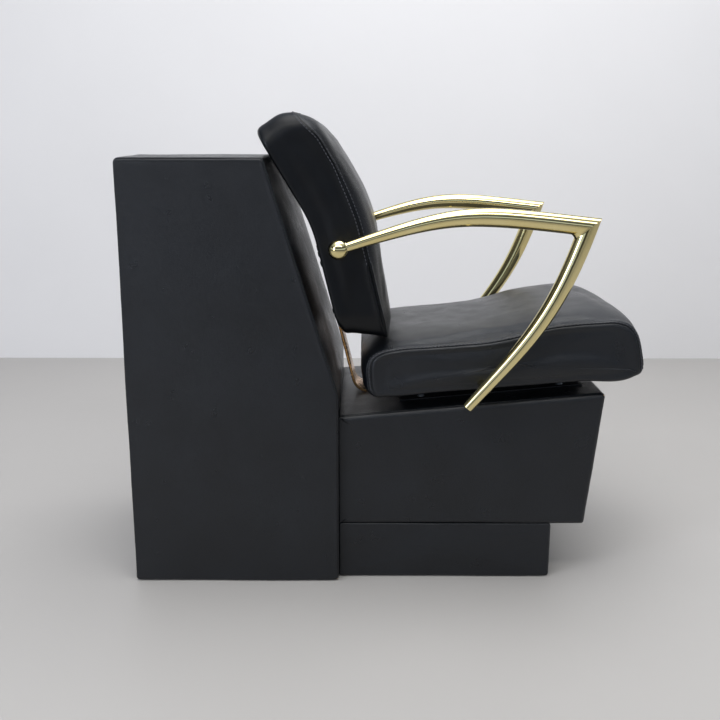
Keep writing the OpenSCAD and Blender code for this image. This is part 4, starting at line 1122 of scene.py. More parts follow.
def soften(
    piece: Object,
    held: Callable[[Array], Array],
    local: Array,
    proud: Array,
    seamed: Array,
    free: Array,
    seed: int,
    wave: float,
) -> None:
    """Blows a cushion up, then adds its seams' relief, the tucks beside them and the filling's waves.

    Args:
        piece: the cushion, point for point as it was sewn.
        held: weight from 0, free, to 1, held by the board, for points in metres.
        local: the points in the cushion's own millimetres.
        proud: relief of the seams at each point.
        seamed: 1 at a seam, which hardly swells, to 0 away from it.
        free: share of the tucks and waves that each point takes.
        seed: the first of three seeds.
        wave: height of the filling's long waves.
    """
    mesh = piece.data
    now = mesh_points(mesh)
    if len(now) != len(local):
        raise ValueError(f"{piece.name}: points were merged")
    swelling = Swelling()
    before, moves = swelling.run(piece, held)
    follow = (1 - held(now)) * (1 - swelling.seam_hold * seamed)
    now = now + swelling.lay(now, mesh_normals(mesh), before, moves, follow)
    set_points(mesh, now)
    near = np.minimum(1.0, np.abs(proud) * 2)
    soft = ripple(local, 120, seed) * wave + ripple(local, 45, seed + 1) * 0.15
    tucks = ripple(local, 11, seed + 2) * 0.3 * near
    amount = proud + (tucks + soft * (1 - near)) * free
    set_points(mesh, now + mesh_normals(mesh) * (amount * MM)[:, None])


def runs(ring: Array, mask: Array) -> list[Array]:
    """Splits a closed ring of point numbers into the unbroken runs that a mask keeps."""
    starts = np.where(mask & ~np.roll(mask, 1))[0]
    if len(starts) == 0:
        return [np.append(ring, ring[0])]
    out = []
    for start in starts:
        count = 0
        while mask[(start + count) % len(ring)] and count < len(ring):
            count += 1
        out.append(ring[(start + np.arange(count)) % len(ring)])
    return out


def seam_paths(mesh: Mesh, row: int, mask: Array) -> list[Path]:
    """Paths for stitches along one ring of a cushion, a hair above its surface.

    Args:
        mesh: the cushion's mesh.
        row: which ring.
        mask: where the ring is stitched, one value for each of its points.

    Returns:
        Points and outward directions of each unbroken path.
    """
    points, normals = mesh_points(mesh), mesh_normals(mesh)
    ring = np.arange(row * len(mask), (row + 1) * len(mask))
    return [(points[index] + normals[index] * 0.0001, normals[index]) for index in runs(ring, mask)]


@dataclass
class SeatCushion:
    """The seat: two sewn side panels, and one long panel from the rear over the top to the nose."""

    name: str = "seat_cushion_upholstery"
    rear_half: float = 208
    front_half: float = 222
    middle_half: float = 215
    crown_power: float = 4
    end_power: float = 14
    side_crown: float = 3.0
    edge: SewnEdge = SewnEdge(6.5, 52.0, groove=1.9, groove_half=1.0, ridge=0.5)
    # Side panel's seam, and the outline at the middle of the chair: along the slope and above it
    seam_line: tuple[tuple[float, float], ...] = (
        (300, 31.5), (180, 31.5), (92, 31.5), (72, 34), (67, 43), (66, 65), (67, 87), (73, 102),
        (88, 111.5), (115, 115.3), (170, 115.2), (225, 114.8), (275, 115), (326, 120.7),
        (384, 131.8), (430, 133.8), (470, 133), (503, 130.5), (521, 122), (531.5, 108), (536.5, 88),
        (538.5, 66), (539, 50), (536.5, 37), (526, 31.5), (430, 31.5),
    )
    full_line: tuple[tuple[float, float], ...] = (
        (300, 31.5), (180, 31.5), (84, 31.5), (59, 33.5), (50, 41), (46.5, 65), (47.5, 92), (57, 113),
        (77, 126.5), (110, 131.5), (170, 132.6), (225, 133.4), (275, 134.6), (324, 140), (380, 149),
        (430, 152), (476, 153.5), (512, 149), (532, 136), (544, 112), (549.5, 88), (552.5, 66), (554, 50),
        (549, 38), (530, 31.5), (430, 31.5),
    )
    step: float = 4.5
    band_rows: int = 54
    panel_rows: tuple[float, ...] = (0.13, 0.2, 0.28, 0.37, 0.46, 0.55, 0.64, 0.72, 0.8, 0.87, 0.93, 0.97)
    # The two rows of stitches beside the seam, on the band's side
    stitched_at: tuple[float, float] = (1.3, 5.2)

    def lines(self) -> tuple[Array, Array]:
        """The two outlines, point for point and counter-clockwise in the side view."""
        seam = np.array(self.seam_line, float)
        full = np.array(self.full_line, float)
        spans = np.linalg.norm(np.roll(seam, -1, axis=0) - seam, axis=1)
        counts = [max(2, int(round(span / self.step))) for span in spans]
        return closed_spline(seam, counts)[::-1].copy(), closed_spline(full, counts)[::-1].copy()

    def half(self, x: Array) -> Array:
        """Half width along the seat."""
        return self.rear_half + (self.front_half - self.rear_half) * ease(x, 47, 543)

    def build(self, finishes: Finishes) -> None:
        """Makes the cushion and its stitches."""
        seam, full = self.lines()
        normal = outward_2d(seam)
        sewn = ease(seam[:, 1], 36, 50)
        stations = self.edge.stations()

        def section(loop: Array, share: float, extra: float = 0.0) -> Array:
            """The outline at a share of the half width, from 1 on the right to -1 on the left."""
            x = loop[:, 0] + (full - seam)[:, 0] * (1 - abs(share) ** self.end_power)
            h = loop[:, 1] + (full - seam)[:, 1] * (1 - abs(share) ** self.crown_power)
            return np.column_stack([x, -(self.half(x) * share + extra), h])

        inner = seam - normal * (self.edge.radius + 5)
        centre = inner.mean(axis=0)
        right = [
            section(centre + (inner - centre) * k, 1.0, self.side_crown * (1 - k**2)) for k in self.panel_rows
        ]
        relief = [np.zeros(len(seam))] * len(right)
        for a in stations:
            inset, depth = self.edge.place(a)
            right.append(section(seam - normal * inset, 1 - depth / self.middle_half))
            relief.append(self.edge.relief(a) * sewn)
        limit = 1 - (self.edge.radius + 6) / self.middle_half
        band = [section(seam, share) for share in np.linspace(limit, -limit, self.band_rows)]
        rows = np.array(right + band + [row * (1, -1, 1) for row in reversed(right)])
        relief += [np.zeros(len(seam))] * len(band) + relief[::-1]
        on_edge = [0.0] * len(self.panel_rows) + [1.0] * len(stations)
        on_edge += [0.0] * len(band) + on_edge[::-1]
        skin = Skin()
        skin.shell(on_seat(rows))
        piece = skin.to_object(self.name, finishes.vinyl, 80)
        local = np.concatenate([rows.reshape(-1, 3), np.zeros((2, 3))])
        seamed = np.append(np.repeat(on_edge, len(seam)), [0.0, 0.0])
        free = ease(local[:, 2], 36, 60)
        soften(piece, self.held, local, np.append(relief, [0.0, 0.0]), seamed, free, seed=31, wave=0.6)
        settle(piece, Slot.VINYL, "seat_cushion")
        paths = []
        for offset in self.stitched_at:
            row = len(self.panel_rows) + int(np.argmin(np.abs(np.array(stations) - offset)))
            paths += seam_paths(piece.data, row, sewn > 0.5)
            paths += seam_paths(piece.data, len(rows) - 1 - row, sewn > 0.5)
        stitches("seat_stitches", paths, finishes)

    @staticmethod
    def held(points: Array) -> Array:
        """The underside, which the board holds."""
        x = points[:, 0] / MM + HALF_LENGTH - CABINET_FRONT
        z = points[:, 2] / MM - BOX_REAR_TOP
        c, s = heading(SEAT_TILT)
        return 1 - ease(z * c - x * s, 34, 46)


@dataclass
class BackCushion:
    """The backrest: a boxing band round a bent board, sewn to a crowned front panel.

    Its own frame has s up along the rear face, y across and n forwards from that face.
    """

    name: str = "backrest_cushion_upholstery"
    bend: float = 17.0
    straight: float = 170.0
    bend_r: float = 220.0
    low_s: float = 4.0
    high_s: float = 387.5
    low_half: float = 214.0
    top_half: float = 204.0
    corner_r: float = 40.0
    side_depth: float = 80.0
    crown: float = 25.0
    # How much less the front panel is crowned at its foot, and how fast the crown rises from the seam
    foot_loss: float = 9.5
    fullness: float = 11.0
    # Share of its size that the front panel loses for each millimetre from the seam
    front_turn: float = 0.72 / 205.0
    rear_round: float = 6.5
    foot_round: tuple[float, float] = (26.0, 14.0)
    side_bow: float = 3.0
    arc_steps: int = 12
    side_steps: int = 46
    cross_steps: int = 48
    edge: SewnEdge = SewnEdge(6.0, 45.0, groove=1.2, groove_half=0.8, ridge=0.3)
    panel_rows: tuple[float, ...] = (
        0.962, 0.945, 0.925, 0.9, 0.87, 0.835, 0.79, 0.74, 0.68, 0.61, 0.53, 0.45, 0.36, 0.27, 0.17, 0.07,
    )

    def fold(self, s: Array, n: Array) -> tuple[Array, Array]:
        """Bends the flat frame: along the rear face and in front of it, to X and Z."""
        s, n = np.broadcast_arrays(np.asarray(s, float), np.asarray(n, float))
        turn = np.clip((s - self.straight) / self.bend_r, 0, math.radians(self.bend))
        arc_l = self.bend_r * math.radians(self.bend)
        past = np.maximum(0, s - self.straight - arc_l)
        x0 = np.where(s < self.straight, 0, self.bend_r * (np.cos(turn) - 1)) - past * np.sin(turn)
        z0 = np.where(s < self.straight, s, self.straight + self.bend_r * np.sin(turn)) + past * np.cos(turn)
        return x0 + n * np.cos(turn), z0 + n * np.sin(turn)

    def to_chair(self, s: Array, y: Array, n: Array | float) -> Array:
        """Places points of the backrest's frame in the chair."""
        x, z = self.fold(s, n)
        return turned(np.stack(np.broadcast_arrays(x, y, z), axis=-1), BACK_ORIGIN, BACK_LEAN)

    def loop(self, inset_low: float, inset: float) -> tuple[Array, Array]:
        """Rounded outline seen from the front: points s and y, and how much each is at the bottom."""
        s0, s1 = self.low_s, self.high_s - inset
        w0, w1 = self.low_half - inset, self.top_half - inset
        r = self.corner_r - inset

        def run(a: Sequence[float], b: Sequence[float], steps: int, pull: Sequence[float]) -> Array:
            """The inner points of a side, bowed the way that it is pulled."""
            t = (np.arange(1, steps) / steps)[:, None]
            bow = 4 * t * (1 - t) * self.side_bow * np.array(pull)
            return between(np.array(a), np.array(b), steps) + bow

        parts = [
            arc((s1 - r, w1 - r), r, 0, self.arc_steps),
            run((s1 - r, w1), (s0 + r, w0), self.side_steps, (0, -1)),
            arc((s0 + r, w0 - r), r, 90, self.arc_steps),
            run((s0, w0 - r), (s0, -w0 + r), self.cross_steps, (1, 0)),
            arc((s0 + r, -w0 + r), r, 180, self.arc_steps),
            run((s0 + r, -w0), (s1 - r, -w1), self.side_steps, (0, 1)),
            arc((s1 - r, -w1 + r), r, 270, self.arc_steps),
            run((s1, -w1 + r), (s1, w1 - r), self.cross_steps, (-1, 0)),
        ]
        loop = np.concatenate(parts)
        low = 1 - ease(loop[:, 0], s0 + 2, s0 + 46)
        loop[:, 0] += inset_low * low
        return loop, low

    def seam_depth(self, s: Array) -> Array:
        """Depth of the sides: fuller at the shoulder, drawn in at the top and the foot."""
        belly = ease(s, 200, 280)
        top = ease(s, 320, 385)
        return self.side_depth + 8 * belly * (1 - top) - 5 * top

    def drop(self, s: Array, n: Array) -> Array:
        """How far a point is lowered: the underside falls forwards and the top is rounded."""
        low = 0.36 * n * (1 - ease(s, self.low_s, self.low_s + 95))
        top = np.maximum(0, n - 40) ** 2 / 140 - 7.0 * (1 - (2 * n / self.side_depth - 1) ** 2)
        return low + top * ease(s, self.high_s - 110, self.high_s)

    def shrunk(self, s: Array, share: float) -> Array:
        """Places along the back, drawn in towards its middle."""
        mid = (self.low_s + self.high_s) / 2
        return mid + share * (s - mid)

    def ring(self, loop: Array, n: Array | float, share: float) -> Array:
        """One ring of the cushion in the chair."""
        s = self.shrunk(loop[:, 0], share)
        s = s - self.drop(s, np.minimum(n, self.side_depth))
        return self.to_chair(s, -share * loop[:, 1], n)

    def layers(self) -> tuple[list[tuple], dict[float, int], Array]:
        """The cushion's rings from the rear to the front.

        Returns:
            Outline, depth, share of its full size and relief of each ring, the numbers of the
            rings at the seam by their distance from it, and where the outline is stitched.
        """
        base, low = self.loop(0, 0)
        seam_n = self.seam_depth(base[:, 0])
        foot_in, foot_up = self.foot_round
        rear_in, _ = self.loop(foot_in, self.rear_round)
        out: list[tuple] = [(rear_in, -0.6, k, 0.0) for k in (0.3, 0.6, 0.8, 0.9, 0.96)]
        start_n = self.rear_round + (foot_up - self.rear_round) * low
        for turn in np.radians([0, 12, 24, 36, 48, 60, 72, 82, 90]):
            inset = 1 - math.sin(turn)
            loop, _ = self.loop(foot_in * inset, self.rear_round * inset)
            out.append((loop, start_n * (1 - math.cos(turn)) - 0.6 * math.cos(turn), 1.0, 0.0))
        # Below the arms the seam is drawn in to a deep crease with a lip behind it
        side = ease(np.abs(base[:, 1]), 165, 190)
        crease = side * (1 - ease(base[:, 0], 108, 124)) * ease(base[:, 0], 12, 40)

        def sewn(a: float) -> Array:
            """Relief at a distance from the seam, deeper in the crease."""
            dip = -5.0 * math.exp(-((a / 1.6) ** 2))
            lip = 2.6 * math.exp(-(((a + 4.2) / 2.0) ** 2)) + 1.2 * math.exp(-(((a - 4.2) / 2.0) ** 2))
            return self.edge.relief(a) + (dip + lip) * crease

        def front(k: float) -> Array:
            """Depth of the front panel, fullest behind the sitter's shoulders and flatter at the foot."""
            foot = 1 - ease(self.shrunk(base[:, 0], k), 40, 165)
            keep = k**self.fullness
            return keep * seam_n + (1 - keep) * (self.side_depth + self.crown - self.foot_loss * foot)

        out += [(base, start_n + (seam_n - start_n) * t, 1.0, 0.0) for t in np.linspace(0.08, 0.86, 11)]
        marks: dict[float, int] = {}
        for a in (*(-b for b in self.edge.reach), 0.0):
            marks[a] = len(out)
            out.append((base, seam_n + a, 1.0, sewn(a)))
        for a in reversed(self.edge.reach):
            k = 1 - a * self.front_turn
            marks[a] = len(out)
            out.append((base, front(k), k, sewn(a)))
        out += [(base, front(k), k, 0.0) for k in self.panel_rows]
        stitched = (crease < 0.5) & ((base[:, 0] > 100) | (np.abs(base[:, 1]) < 150))
        return out, marks, stitched

    def build(self, finishes: Finishes) -> None:
        """Makes the cushion, its stitches and its rear panel."""
        layers, marks, stitched = self.layers()
        wide = len(stitched)
        skin = Skin()
        skin.shell(np.array([self.ring(loop, n, k) for loop, n, k, _ in layers]))
        # The backrest takes the darker copy of the vinyl, whose colour is painted shade
        piece = skin.to_object(self.name, finishes.shaded_back_vinyl, 80)
        flat = [
            np.column_stack([self.shrunk(loop[:, 0], k), -k * loop[:, 1], np.broadcast_to(n, wide)])
            for loop, n, k, _ in layers
        ]
        local = np.concatenate([*flat, [[200, 0, 0], [200, 0, 100]]])
        proud = np.append([np.broadcast_to(p, wide) for _, _, _, p in layers], [0.0, 0.0])
        seamed = np.exp(-(((local[:, 2] - self.side_depth) / 9) ** 2))
        soften(piece, self.held, local, proud, seamed, ease(local[:, 2], 6, 30), seed=51, wave=0.55)
        settle(piece, Slot.VINYL, "backrest_cushion")
        paths = seam_paths(piece.data, marks[-4.0], stitched) + seam_paths(piece.data, marks[4.0], stitched)
        stitches("backrest_stitches", paths, finishes)
        self.rear_panel(finishes)

    def held(self, points: Array) -> Array:
        """The rear of the cushion, which the board holds, by a rough way back to its own frame."""
        c, s = heading(BACK_LEAN)
        x = points[:, 0] / MM + HALF_LENGTH - BACK_ORIGIN[0]
        z = points[:, 2] / MM - BACK_ORIGIN[1]
        fore, up = x * c + z * s, -x * s + z * c
        turn = np.arctan2(np.maximum(0, up - self.straight), self.bend_r + fore)
        turn = np.minimum(turn, math.radians(self.bend))
        x0, z0 = self.fold(self.straight + self.bend_r * turn, np.zeros_like(turn))
        n = np.where(up < self.straight, fore, (fore - x0) * np.cos(turn) + (up - z0) * np.sin(turn))
        return 1 - ease(n, 8, 22)

    def rear_panel(self, finishes: Finishes) -> None:
        """The covered board on the rear of the backrest, with its vinyl drawn round the edge."""
        thick, edge, low_edge = 6.0, 18.0, 9.0
        # How far in each ring lies, and its depth
        rings = (
            (60, -thick), (40, -thick), (26, -5.6), (15, -4.7), (7.5, -3.5), (3.2, -2.4), (0.9, -1.5),
            (0, -0.8), (0, -0.2), (2, 0), (30, 0),
        )

        def outline(inset: float) -> Array:
            """The panel's rounded outline, moved inwards."""
            s0, s1 = self.low_s + low_edge + inset, self.high_s - edge - inset
            w = self.top_half - edge - inset
            r = max(self.corner_r - edge - inset, 8)
            places = ((s1 - r, w - r), (s0 + r, w - r), (s0 + r, -w + r), (s1 - r, -w + r))
            arcs = [arc(place, r, 90 * i, 8) for i, place in enumerate(places)]
            return np.concatenate(
                [p for a, b in zip(arcs, arcs[1:] + arcs[:1]) for p in (a, between(a[-1], b[0], 26))]
            )

        def placed(loop: Array, n: float) -> Array:
            """A ring in the chair; the cover is fullest behind the bar and flat towards its sides."""
            fuller = 1 - 0.85 * ease(np.abs(loop[:, 1]), 45, 175)
            return self.to_chair(loop[:, 0], -loop[:, 1], n if n > -0.8 else -0.8 + (n + 0.8) * fuller)

        face = outline(rings[0][0])
        middle = face.mean(axis=0)
        rows = [placed(middle + (face - middle) * k, -thick) for k in (0.1, 0.3, 0.5, 0.7, 0.85)]
        rows += [placed(outline(inset), n) for inset, n in rings]
        rows += [placed(middle + (face - middle) * k, 0.0) for k in (0.85, 0.6, 0.35, 0.1)]
        skin = Skin()
        skin.shell(np.array(rows))
        piece = skin.to_object("backrest_rear_cover", finishes.vinyl, 50)
        settle(piece, Slot.VINYL, "backrest_rear_panel")


# ---------------------------------------------------------------- metalwork


def bezier(control: Array, t: Array) -> Array:
    """Points on a cubic curve."""
    t = np.asarray(t, float)[..., None]
    c = control
    return (1 - t) ** 3 * c[0] + 3 * (1 - t) ** 2 * t * c[1] + 3 * (1 - t) * t**2 * c[2] + t**3 * c[3]


def bezier_way(control: Array, t: Array) -> Array:
    """Unit directions of a cubic curve."""
    t = np.asarray(t, float)[..., None]
    c = control
    d = (1 - t) ** 2 * (c[1] - c[0]) + 2 * (1 - t) * t * (c[2] - c[1]) + t**2 * (c[3] - c[2])
    return d / np.linalg.norm(d, axis=-1, keepdims=True)


@dataclass
class Arm:
    """One armrest: a ball, an upper tube and a down tube that meet in a mitre."""

    side: Side
    plane: float = 252.5
    ball: tuple[float, float] = (379.0, 619.0)
    corner: tuple[float, float] = (796.0, 658.0)
    low: tuple[float, float] = (602.0, 344.5)
    diameter: float = 32.0
    rear_diameter: float = 16.0
    low_diameter: float = 18.5
    wall: float = 2.0
    ball_diameter: float = 34.0
    # Degrees of the tubes at their ends: at the ball, and at the corner and the foot
    rise: float = 18.0
    fall: float = 6.4
    down_top: float = 72.0
    down_low: float = 49.0
    boss: float = 16.0
    boss_height: float = 42.0
    fillet: float = 7.5
    around: int = 56

    def curves(self) -> tuple[Array, Array]:
        """Control points of the two tubes' middles."""
        ball, corner, low = (np.array(p) for p in (self.ball, self.corner, self.low))
        reach = 0.5 * np.linalg.norm(corner - ball)
        upper = [ball, ball + reach * heading(self.rise), corner - reach * heading(-self.fall), corner]
        reach = 0.43 * np.linalg.norm(corner - low)
        down = [corner, corner - reach * heading(self.down_top), low + reach * heading(self.down_low), low]
        return np.array(upper), np.array(down)

    def upper_r(self, t: Array) -> Array:
        """Radius of the upper tube along its curve."""
        rest = (1 - np.minimum(1, t / 0.68)) ** 1.35
        return (self.diameter - (self.diameter - self.rear_diameter) * rest) / 2

    def down_r(self, t: Array) -> Array:
        """Radius of the down tube along its curve."""
        return (self.low_diameter + (self.diameter - self.low_diameter) * (1 - np.maximum(t, 0) ** 1.5)) / 2

    @staticmethod
    def surface(control: Array, radius: Callable[[Array], Array], t: Array, turn: float) -> Array:
        """A line along a tube: points in the arm's plane and across it."""
        ahead = np.clip(t, 0, 1)
        way = bezier_way(control, ahead)
        length = np.linalg.norm(control[3] - control[0])
        mid = bezier(control, ahead) + way * ((t - ahead) * length)[:, None]
        square = np.stack([-way[:, 1], way[:, 0]], axis=1)
        r = radius(ahead)
        flat = mid + square * (r * math.cos(turn))[:, None]
        return across(flat, r * math.sin(turn))

    def tube(self, control: Array, radius: Callable[[Array], Array], shares: Array, at_end: bool) -> Array:
        """Rows of a tube whose corner end is cut on the mitre, one line round it at a time."""
        mitre = heading(180 + (self.down_top - self.fall) / 2)
        square = np.array([-mitre[1], mitre[0]])
        corner = np.array(self.corner)
        t = np.linspace(0.85, 1.12, 60) if at_end else np.linspace(-0.12, 0.15, 60)
        lines = []
        for turn in 2 * math.pi * np.arange(self.around) / self.around:
            line = self.surface(control, radius, t, turn)
            off = (line[:, [0, 2]] - corner) @ square
            hit = np.where(np.sign(off[:-1]) != np.sign(off[1:]))[0]
            k = hit[-1] if at_end else hit[0]
            cut = t[k] + (t[k + 1] - t[k]) * off[k] / (off[k] - off[k + 1])
            spread = shares * cut if at_end else cut + shares * (1 - cut)
            lines.append(self.surface(control, radius, spread, turn))
        return np.array(lines).transpose(1, 0, 2)

    def seat(self, points: Array) -> Array:
        """Moves points from the arm's plane to its side of the chair."""
        return np.asarray(points) + self.side.value * self.plane * ACROSS

    def add_corner_fillet(self, skin: Skin) -> None:
        """The blended weld inside the mitred corner."""
        half_angle = math.radians((self.down_top + self.fall) / 2)
        middle = heading(180 + (self.down_top - self.fall) / 2)
        side_way = np.array([-middle[1], middle[0]])
        r = self.diameter / 2
        spread = math.pi / 2 - half_angle
        rows = []
        for v in np.linspace(-0.985, 0.985, 29) * math.pi / 2:
            y = r * math.sin(v)
            high = math.sqrt(max(r * r - y * y, 1e-6))
            size = self.fillet * max(0.03, math.cos(v)) ** 0.6
            centre = np.array(self.corner) + middle * ((high + size) / math.sin(half_angle))
            row = []
            for turn in np.linspace(-spread, spread, 13):
                p = centre - size * (middle * math.cos(turn) - side_way * math.sin(turn))
                row.append([p[0], y, p[1]])
            rows.append(row)
        skin.grid(self.seat(rows), False)

    def build(self, finishes: Finishes) -> None:
        """Makes the arm's three pieces."""
        upper, down = self.curves()
        for part, skin, sharp in (
            ("upper_tube", self.upper_tube(upper), 50),
            ("down_tube", self.down_tube(down), 50),
            ("ball", self.ball_end(upper), 60),
        ):
            node = f"arm_{self.side.name.lower()}_{part}"
            settle(skin.to_object(f"{node}_polished", finishes.gold, sharp), Slot.GOLD, node)

    def upper_tube(self, control: Array) -> Skin:
        """The upper tube, with the blend inside the corner."""
        start = 9.5 / np.linalg.norm(control[3] - control[0])
        close = 0.9 + 0.1 * (1 - (1 - np.linspace(0, 1, 13)[1:]) ** 1.5)
        skin = Skin()
        shares = np.concatenate([np.linspace(start, 0.9, 56), close])
        skin.shell(self.seat(self.tube(control, self.upper_r, shares, True)))
        self.add_corner_fillet(skin)
        return skin

    def down_tube(self, control: Array) -> Skin:
        """The down tube: open at its lower end, with its wall, and the boss that meets the seat board."""
        shares = np.concatenate([0.1 * np.linspace(0, 1, 12) ** 1.5, np.linspace(0.1, 0.997, 52)[1:]])
        outer = self.tube(control, self.down_r, shares, False)
        end = bezier_way(control, np.array([1.0]))[0]
        tip = bezier(control, np.array([1.0]))[0]
        r, inner = self.low_diameter / 2, self.low_diameter / 2 - self.wall
        rings = []
        # Distance back from the tip, and radius: over the lip and into the bore
        for back, radius in (
            (0.35, r), (0.1, r - 0.12), (0.0, r - 0.4), (0.0, inner + 0.3), (0.3, inner), (3.0, inner),
            (22.0, inner + 0.6),
        ):
            spoke = radius * circle(self.around)
            flat = tip - end * back + np.array([-end[1], end[0]]) * spoke[:, :1]
            rings.append(across(flat, spoke[:, 1]))
        skin = Skin()
        skin.shell(self.seat(np.concatenate([outer, rings])))
        self.add_boss(skin, control)
        return skin

    def add_boss(self, skin: Skin, control: Array) -> None:
        """The welded boss between the down tube and the edge of the seat board."""
        c, s = heading(SEAT_TILT)
        mid = bezier(control, np.linspace(0, 1, 2001))
        rise = (mid[:, 1] - BOX_REAR_TOP) * c - (mid[:, 0] - CABINET_FRONT) * s
        at = mid[np.argmin(np.abs(rise - self.boss_height))]
        r = self.boss / 2
        rows = []
        for y, radius in ((184.1, r), (215, r), (232, r), (240, 8.0), (246, 7.6)):
            rows.append(across(at + radius * circle(32), self.side.value * y))
        skin.shell(np.array(rows))

    def ball_end(self, control: Array) -> Skin:
        """The ball, its collar round the tube and its neck to the backrest."""
        way = bezier_way(control, np.array([0.0]))[0]
        axis = np.array([way[0], 0.0, way[1]])
        r, tube = self.ball_diameter / 2, self.rear_diameter / 2
        middle = np.array([self.ball[0], 0.0, self.ball[1]])
        # From the far pole forwards, then the flare that runs into the tube: along it, and radius
        turns = np.linspace(0.04, 1, 30) * math.radians(147.5)
        profile = [(-r * math.cos(turn), r * math.sin(turn)) for turn in turns]
        profile += [(14.7, tube + 0.75), (15.6, tube + 0.42), (17.1, tube + 0.25), (19.3, tube + 0.22)]
        profile += [(20.0, tube + 0.02)]
        spoke = circle(48) @ np.array([np.cross(axis, ACROSS), ACROSS])
        skin = Skin()
        rings = [middle + axis * along + radius * spoke for along, radius in profile]
        first = skin.grid(self.seat(rings), True)
        skin.cap(first, 48, self.seat(middle - axis * r), False)
        neck = []
        for y, radius in ((13.6, 9.9), (14.6, 9.0), (16.2, 8.3), (18.5, 8.0), (self.plane - 196.1, 8.0)):
            neck.append(middle + across(radius * circle(40), -self.side.value * y))
        first = skin.grid(self.seat(neck), True)
        skin.cap(first + (len(neck) - 1) * 40, 40, self.seat(neck[-1].mean(axis=0)), True)
        return skin


def rounded_section(half: float, low: float, high: float, r: float) -> Array:
    """A rectangle with rounded corners: across, and from low to high."""
    places = ((half - r, low + r), (half - r, high - r), (-half + r, high - r), (-half + r, low + r))
    return np.concatenate([arc(place, r, 90 * i - 90, 4) for i, place in enumerate(places)])


@dataclass
class FlatBar:
    """The bent flat bar, its cap and its bolts.

    It shares the backrest's frame: s up along the rear face, y across and n forwards.
    """

    width: float = 80.0
    thick: float = 5.0
    eased: float = 0.9
    front_n: float = -6.0
    top_s: float = 152.0
    bend_r: float = 32.0
    foot_l: float = 190.0
    cap_over: float = 2.5
    cap_tall: float = 11.0
    bolt_s: tuple[float, ...] = (21.0, 116.0, 135.0)
    bolt_y: float = 24.0

    def build(self, finishes: Finishes) -> None:
        """Makes the bar, the cap and the bolts."""
        self.bar(finishes)
        self.cap(finishes)
        self.bolts(finishes)

    def side_line(self) -> tuple[Array, Array]:
        """The bar's rear line and its square direction, from the top down and along the foot."""
        up, fore, foot = heading(90 + BACK_LEAN), heading(BACK_LEAN), heading(SEAT_TILT)
        low = np.array(BACK_ORIGIN) + fore * (self.front_n - self.thick)
        gap = np.array([CABINET_FRONT, BOX_REAR_TOP]) - low
        k = (gap[0] * foot[1] - gap[1] * foot[0]) / (-up[0] * foot[1] + up[1] * foot[0])
        heel = low - up * k
        turn = 90 - BACK_LEAN + SEAT_TILT
        run = self.bend_r * math.tan(math.radians(turn / 2))
        centre = heel + run * foot + self.bend_r * heading(90 + SEAT_TILT)
        top = low + up * self.top_s
        bend = centre + self.bend_r * heading(180 + BACK_LEAN)
        line = [top + (bend - top) * t for t in np.linspace(0, 1, 40)[:-1]]
        square = [fore] * len(line)
        for a in np.linspace(180 + BACK_LEAN, 270 + SEAT_TILT, 22):
            line.append(centre + self.bend_r * heading(a))
            square.append(-heading(a))
        start, toe = line[-1], heel + foot * self.foot_l
        for t in np.linspace(0, 1, 20)[1:]:
            line.append(start + (toe - start) * t)
            square.append(heading(90 + SEAT_TILT))
        return np.array(line), np.array(square)

    def bar(self, finishes: Finishes) -> None:
        """The strip, with its long edges eased."""
        section = rounded_section(self.width / 2, 0.0, self.thick, self.eased)
        rows = [
            [[p[0] + n[0] * h, y, p[1] + n[1] * h] for y, h in section] for p, n in zip(*self.side_line())
        ]
        skin = Skin()
        skin.shell(np.array(rows))
        settle(skin.to_object("back_bar_plated", finishes.bar_gold, 40), Slot.GOLD, "back_bar")

    def cap(self, finishes: Finishes) -> None:
        """The moulded cap pressed over the bar's upper end."""
        half, deep = self.width / 2 + self.cap_over, self.thick + self.cap_over
        n0 = self.front_n - self.thick - self.cap_over
        s0 = self.top_s - 8.5
        tall, r = self.cap_tall, 1.6
        rows = []
        for turn_in, up in (
            (6.0, 0.0), (0.5, 0.0), (0.1, 0.3), (0, 0.9), (0, tall - r), (0.15, tall - r * 0.6),
            (0.55, tall - r * 0.25), (1.2, tall), (2.8, tall),
        ):
            pinch = min(turn_in, deep / 2 - 0.3)
            low, high = n0 + pinch, n0 + deep - pinch
            corner = min(max(1.8 - turn_in * 0.3, 0.5), (high - low) / 2 - 0.02)
            section = rounded_section(half - turn_in, low, high, corner)
            rows.append(np.column_stack([section[:, 1], section[:, 0], np.full(len(section), s0 + up)]))
        skin = Skin()
        skin.shell(turned(np.array(rows), BACK_ORIGIN, BACK_LEAN))
        settle(skin.to_object("back_bar_end_cap", finishes.plastic, 35), Slot.PLASTIC, "back_bar_cap")

    def bolts(self, finishes: Finishes) -> None:
        """Black button-head bolts with a hex socket, one pattern on every place."""
        n = self.front_n - self.thick
        spots = [[n, side * self.bolt_y, s] for s in self.bolt_s for side in (-1, 1)]
        points = metres(turned(np.array(spots), BACK_ORIGIN, BACK_LEAN))
        back = -heading(BACK_LEAN)
        way = np.array([back[0], 0.0, back[1]])
        pattern = button_head(finishes.steel)
        fasteners("back_bar_button_bolts", "back_bar_bolts", pattern, points, way, 7, finishes)


def turned_piece(
    name: str,
    profile: Sequence[tuple[float, float]],
    socket: Sequence[tuple[float, float]],
    recess: Array,
    material: Material,
) -> Object:
    """A fastener turned round Z, its head's seat at the origin and its shank going down.

    Args:
        name: the pattern's name.
        profile: radius and height of each ring, from the shank's end to the top of the head.
        socket: the same inside the recess.
        recess: the recess's outline for a radius of 1.
        material: its finish.

    Returns:
        The pattern.
    """
    count = len(recess)
    rings = [(r * circle(count), z) for r, z in profile] + [(r * recess, z) for r, z in socket]
    rows = np.array([np.column_stack([ring, np.full(count, z)]) for ring, z in rings])
    rows[..., 0] += HALF_LENGTH
    skin = Skin()
    skin.shell(rows)
    return skin.to_object(name, material, 40)


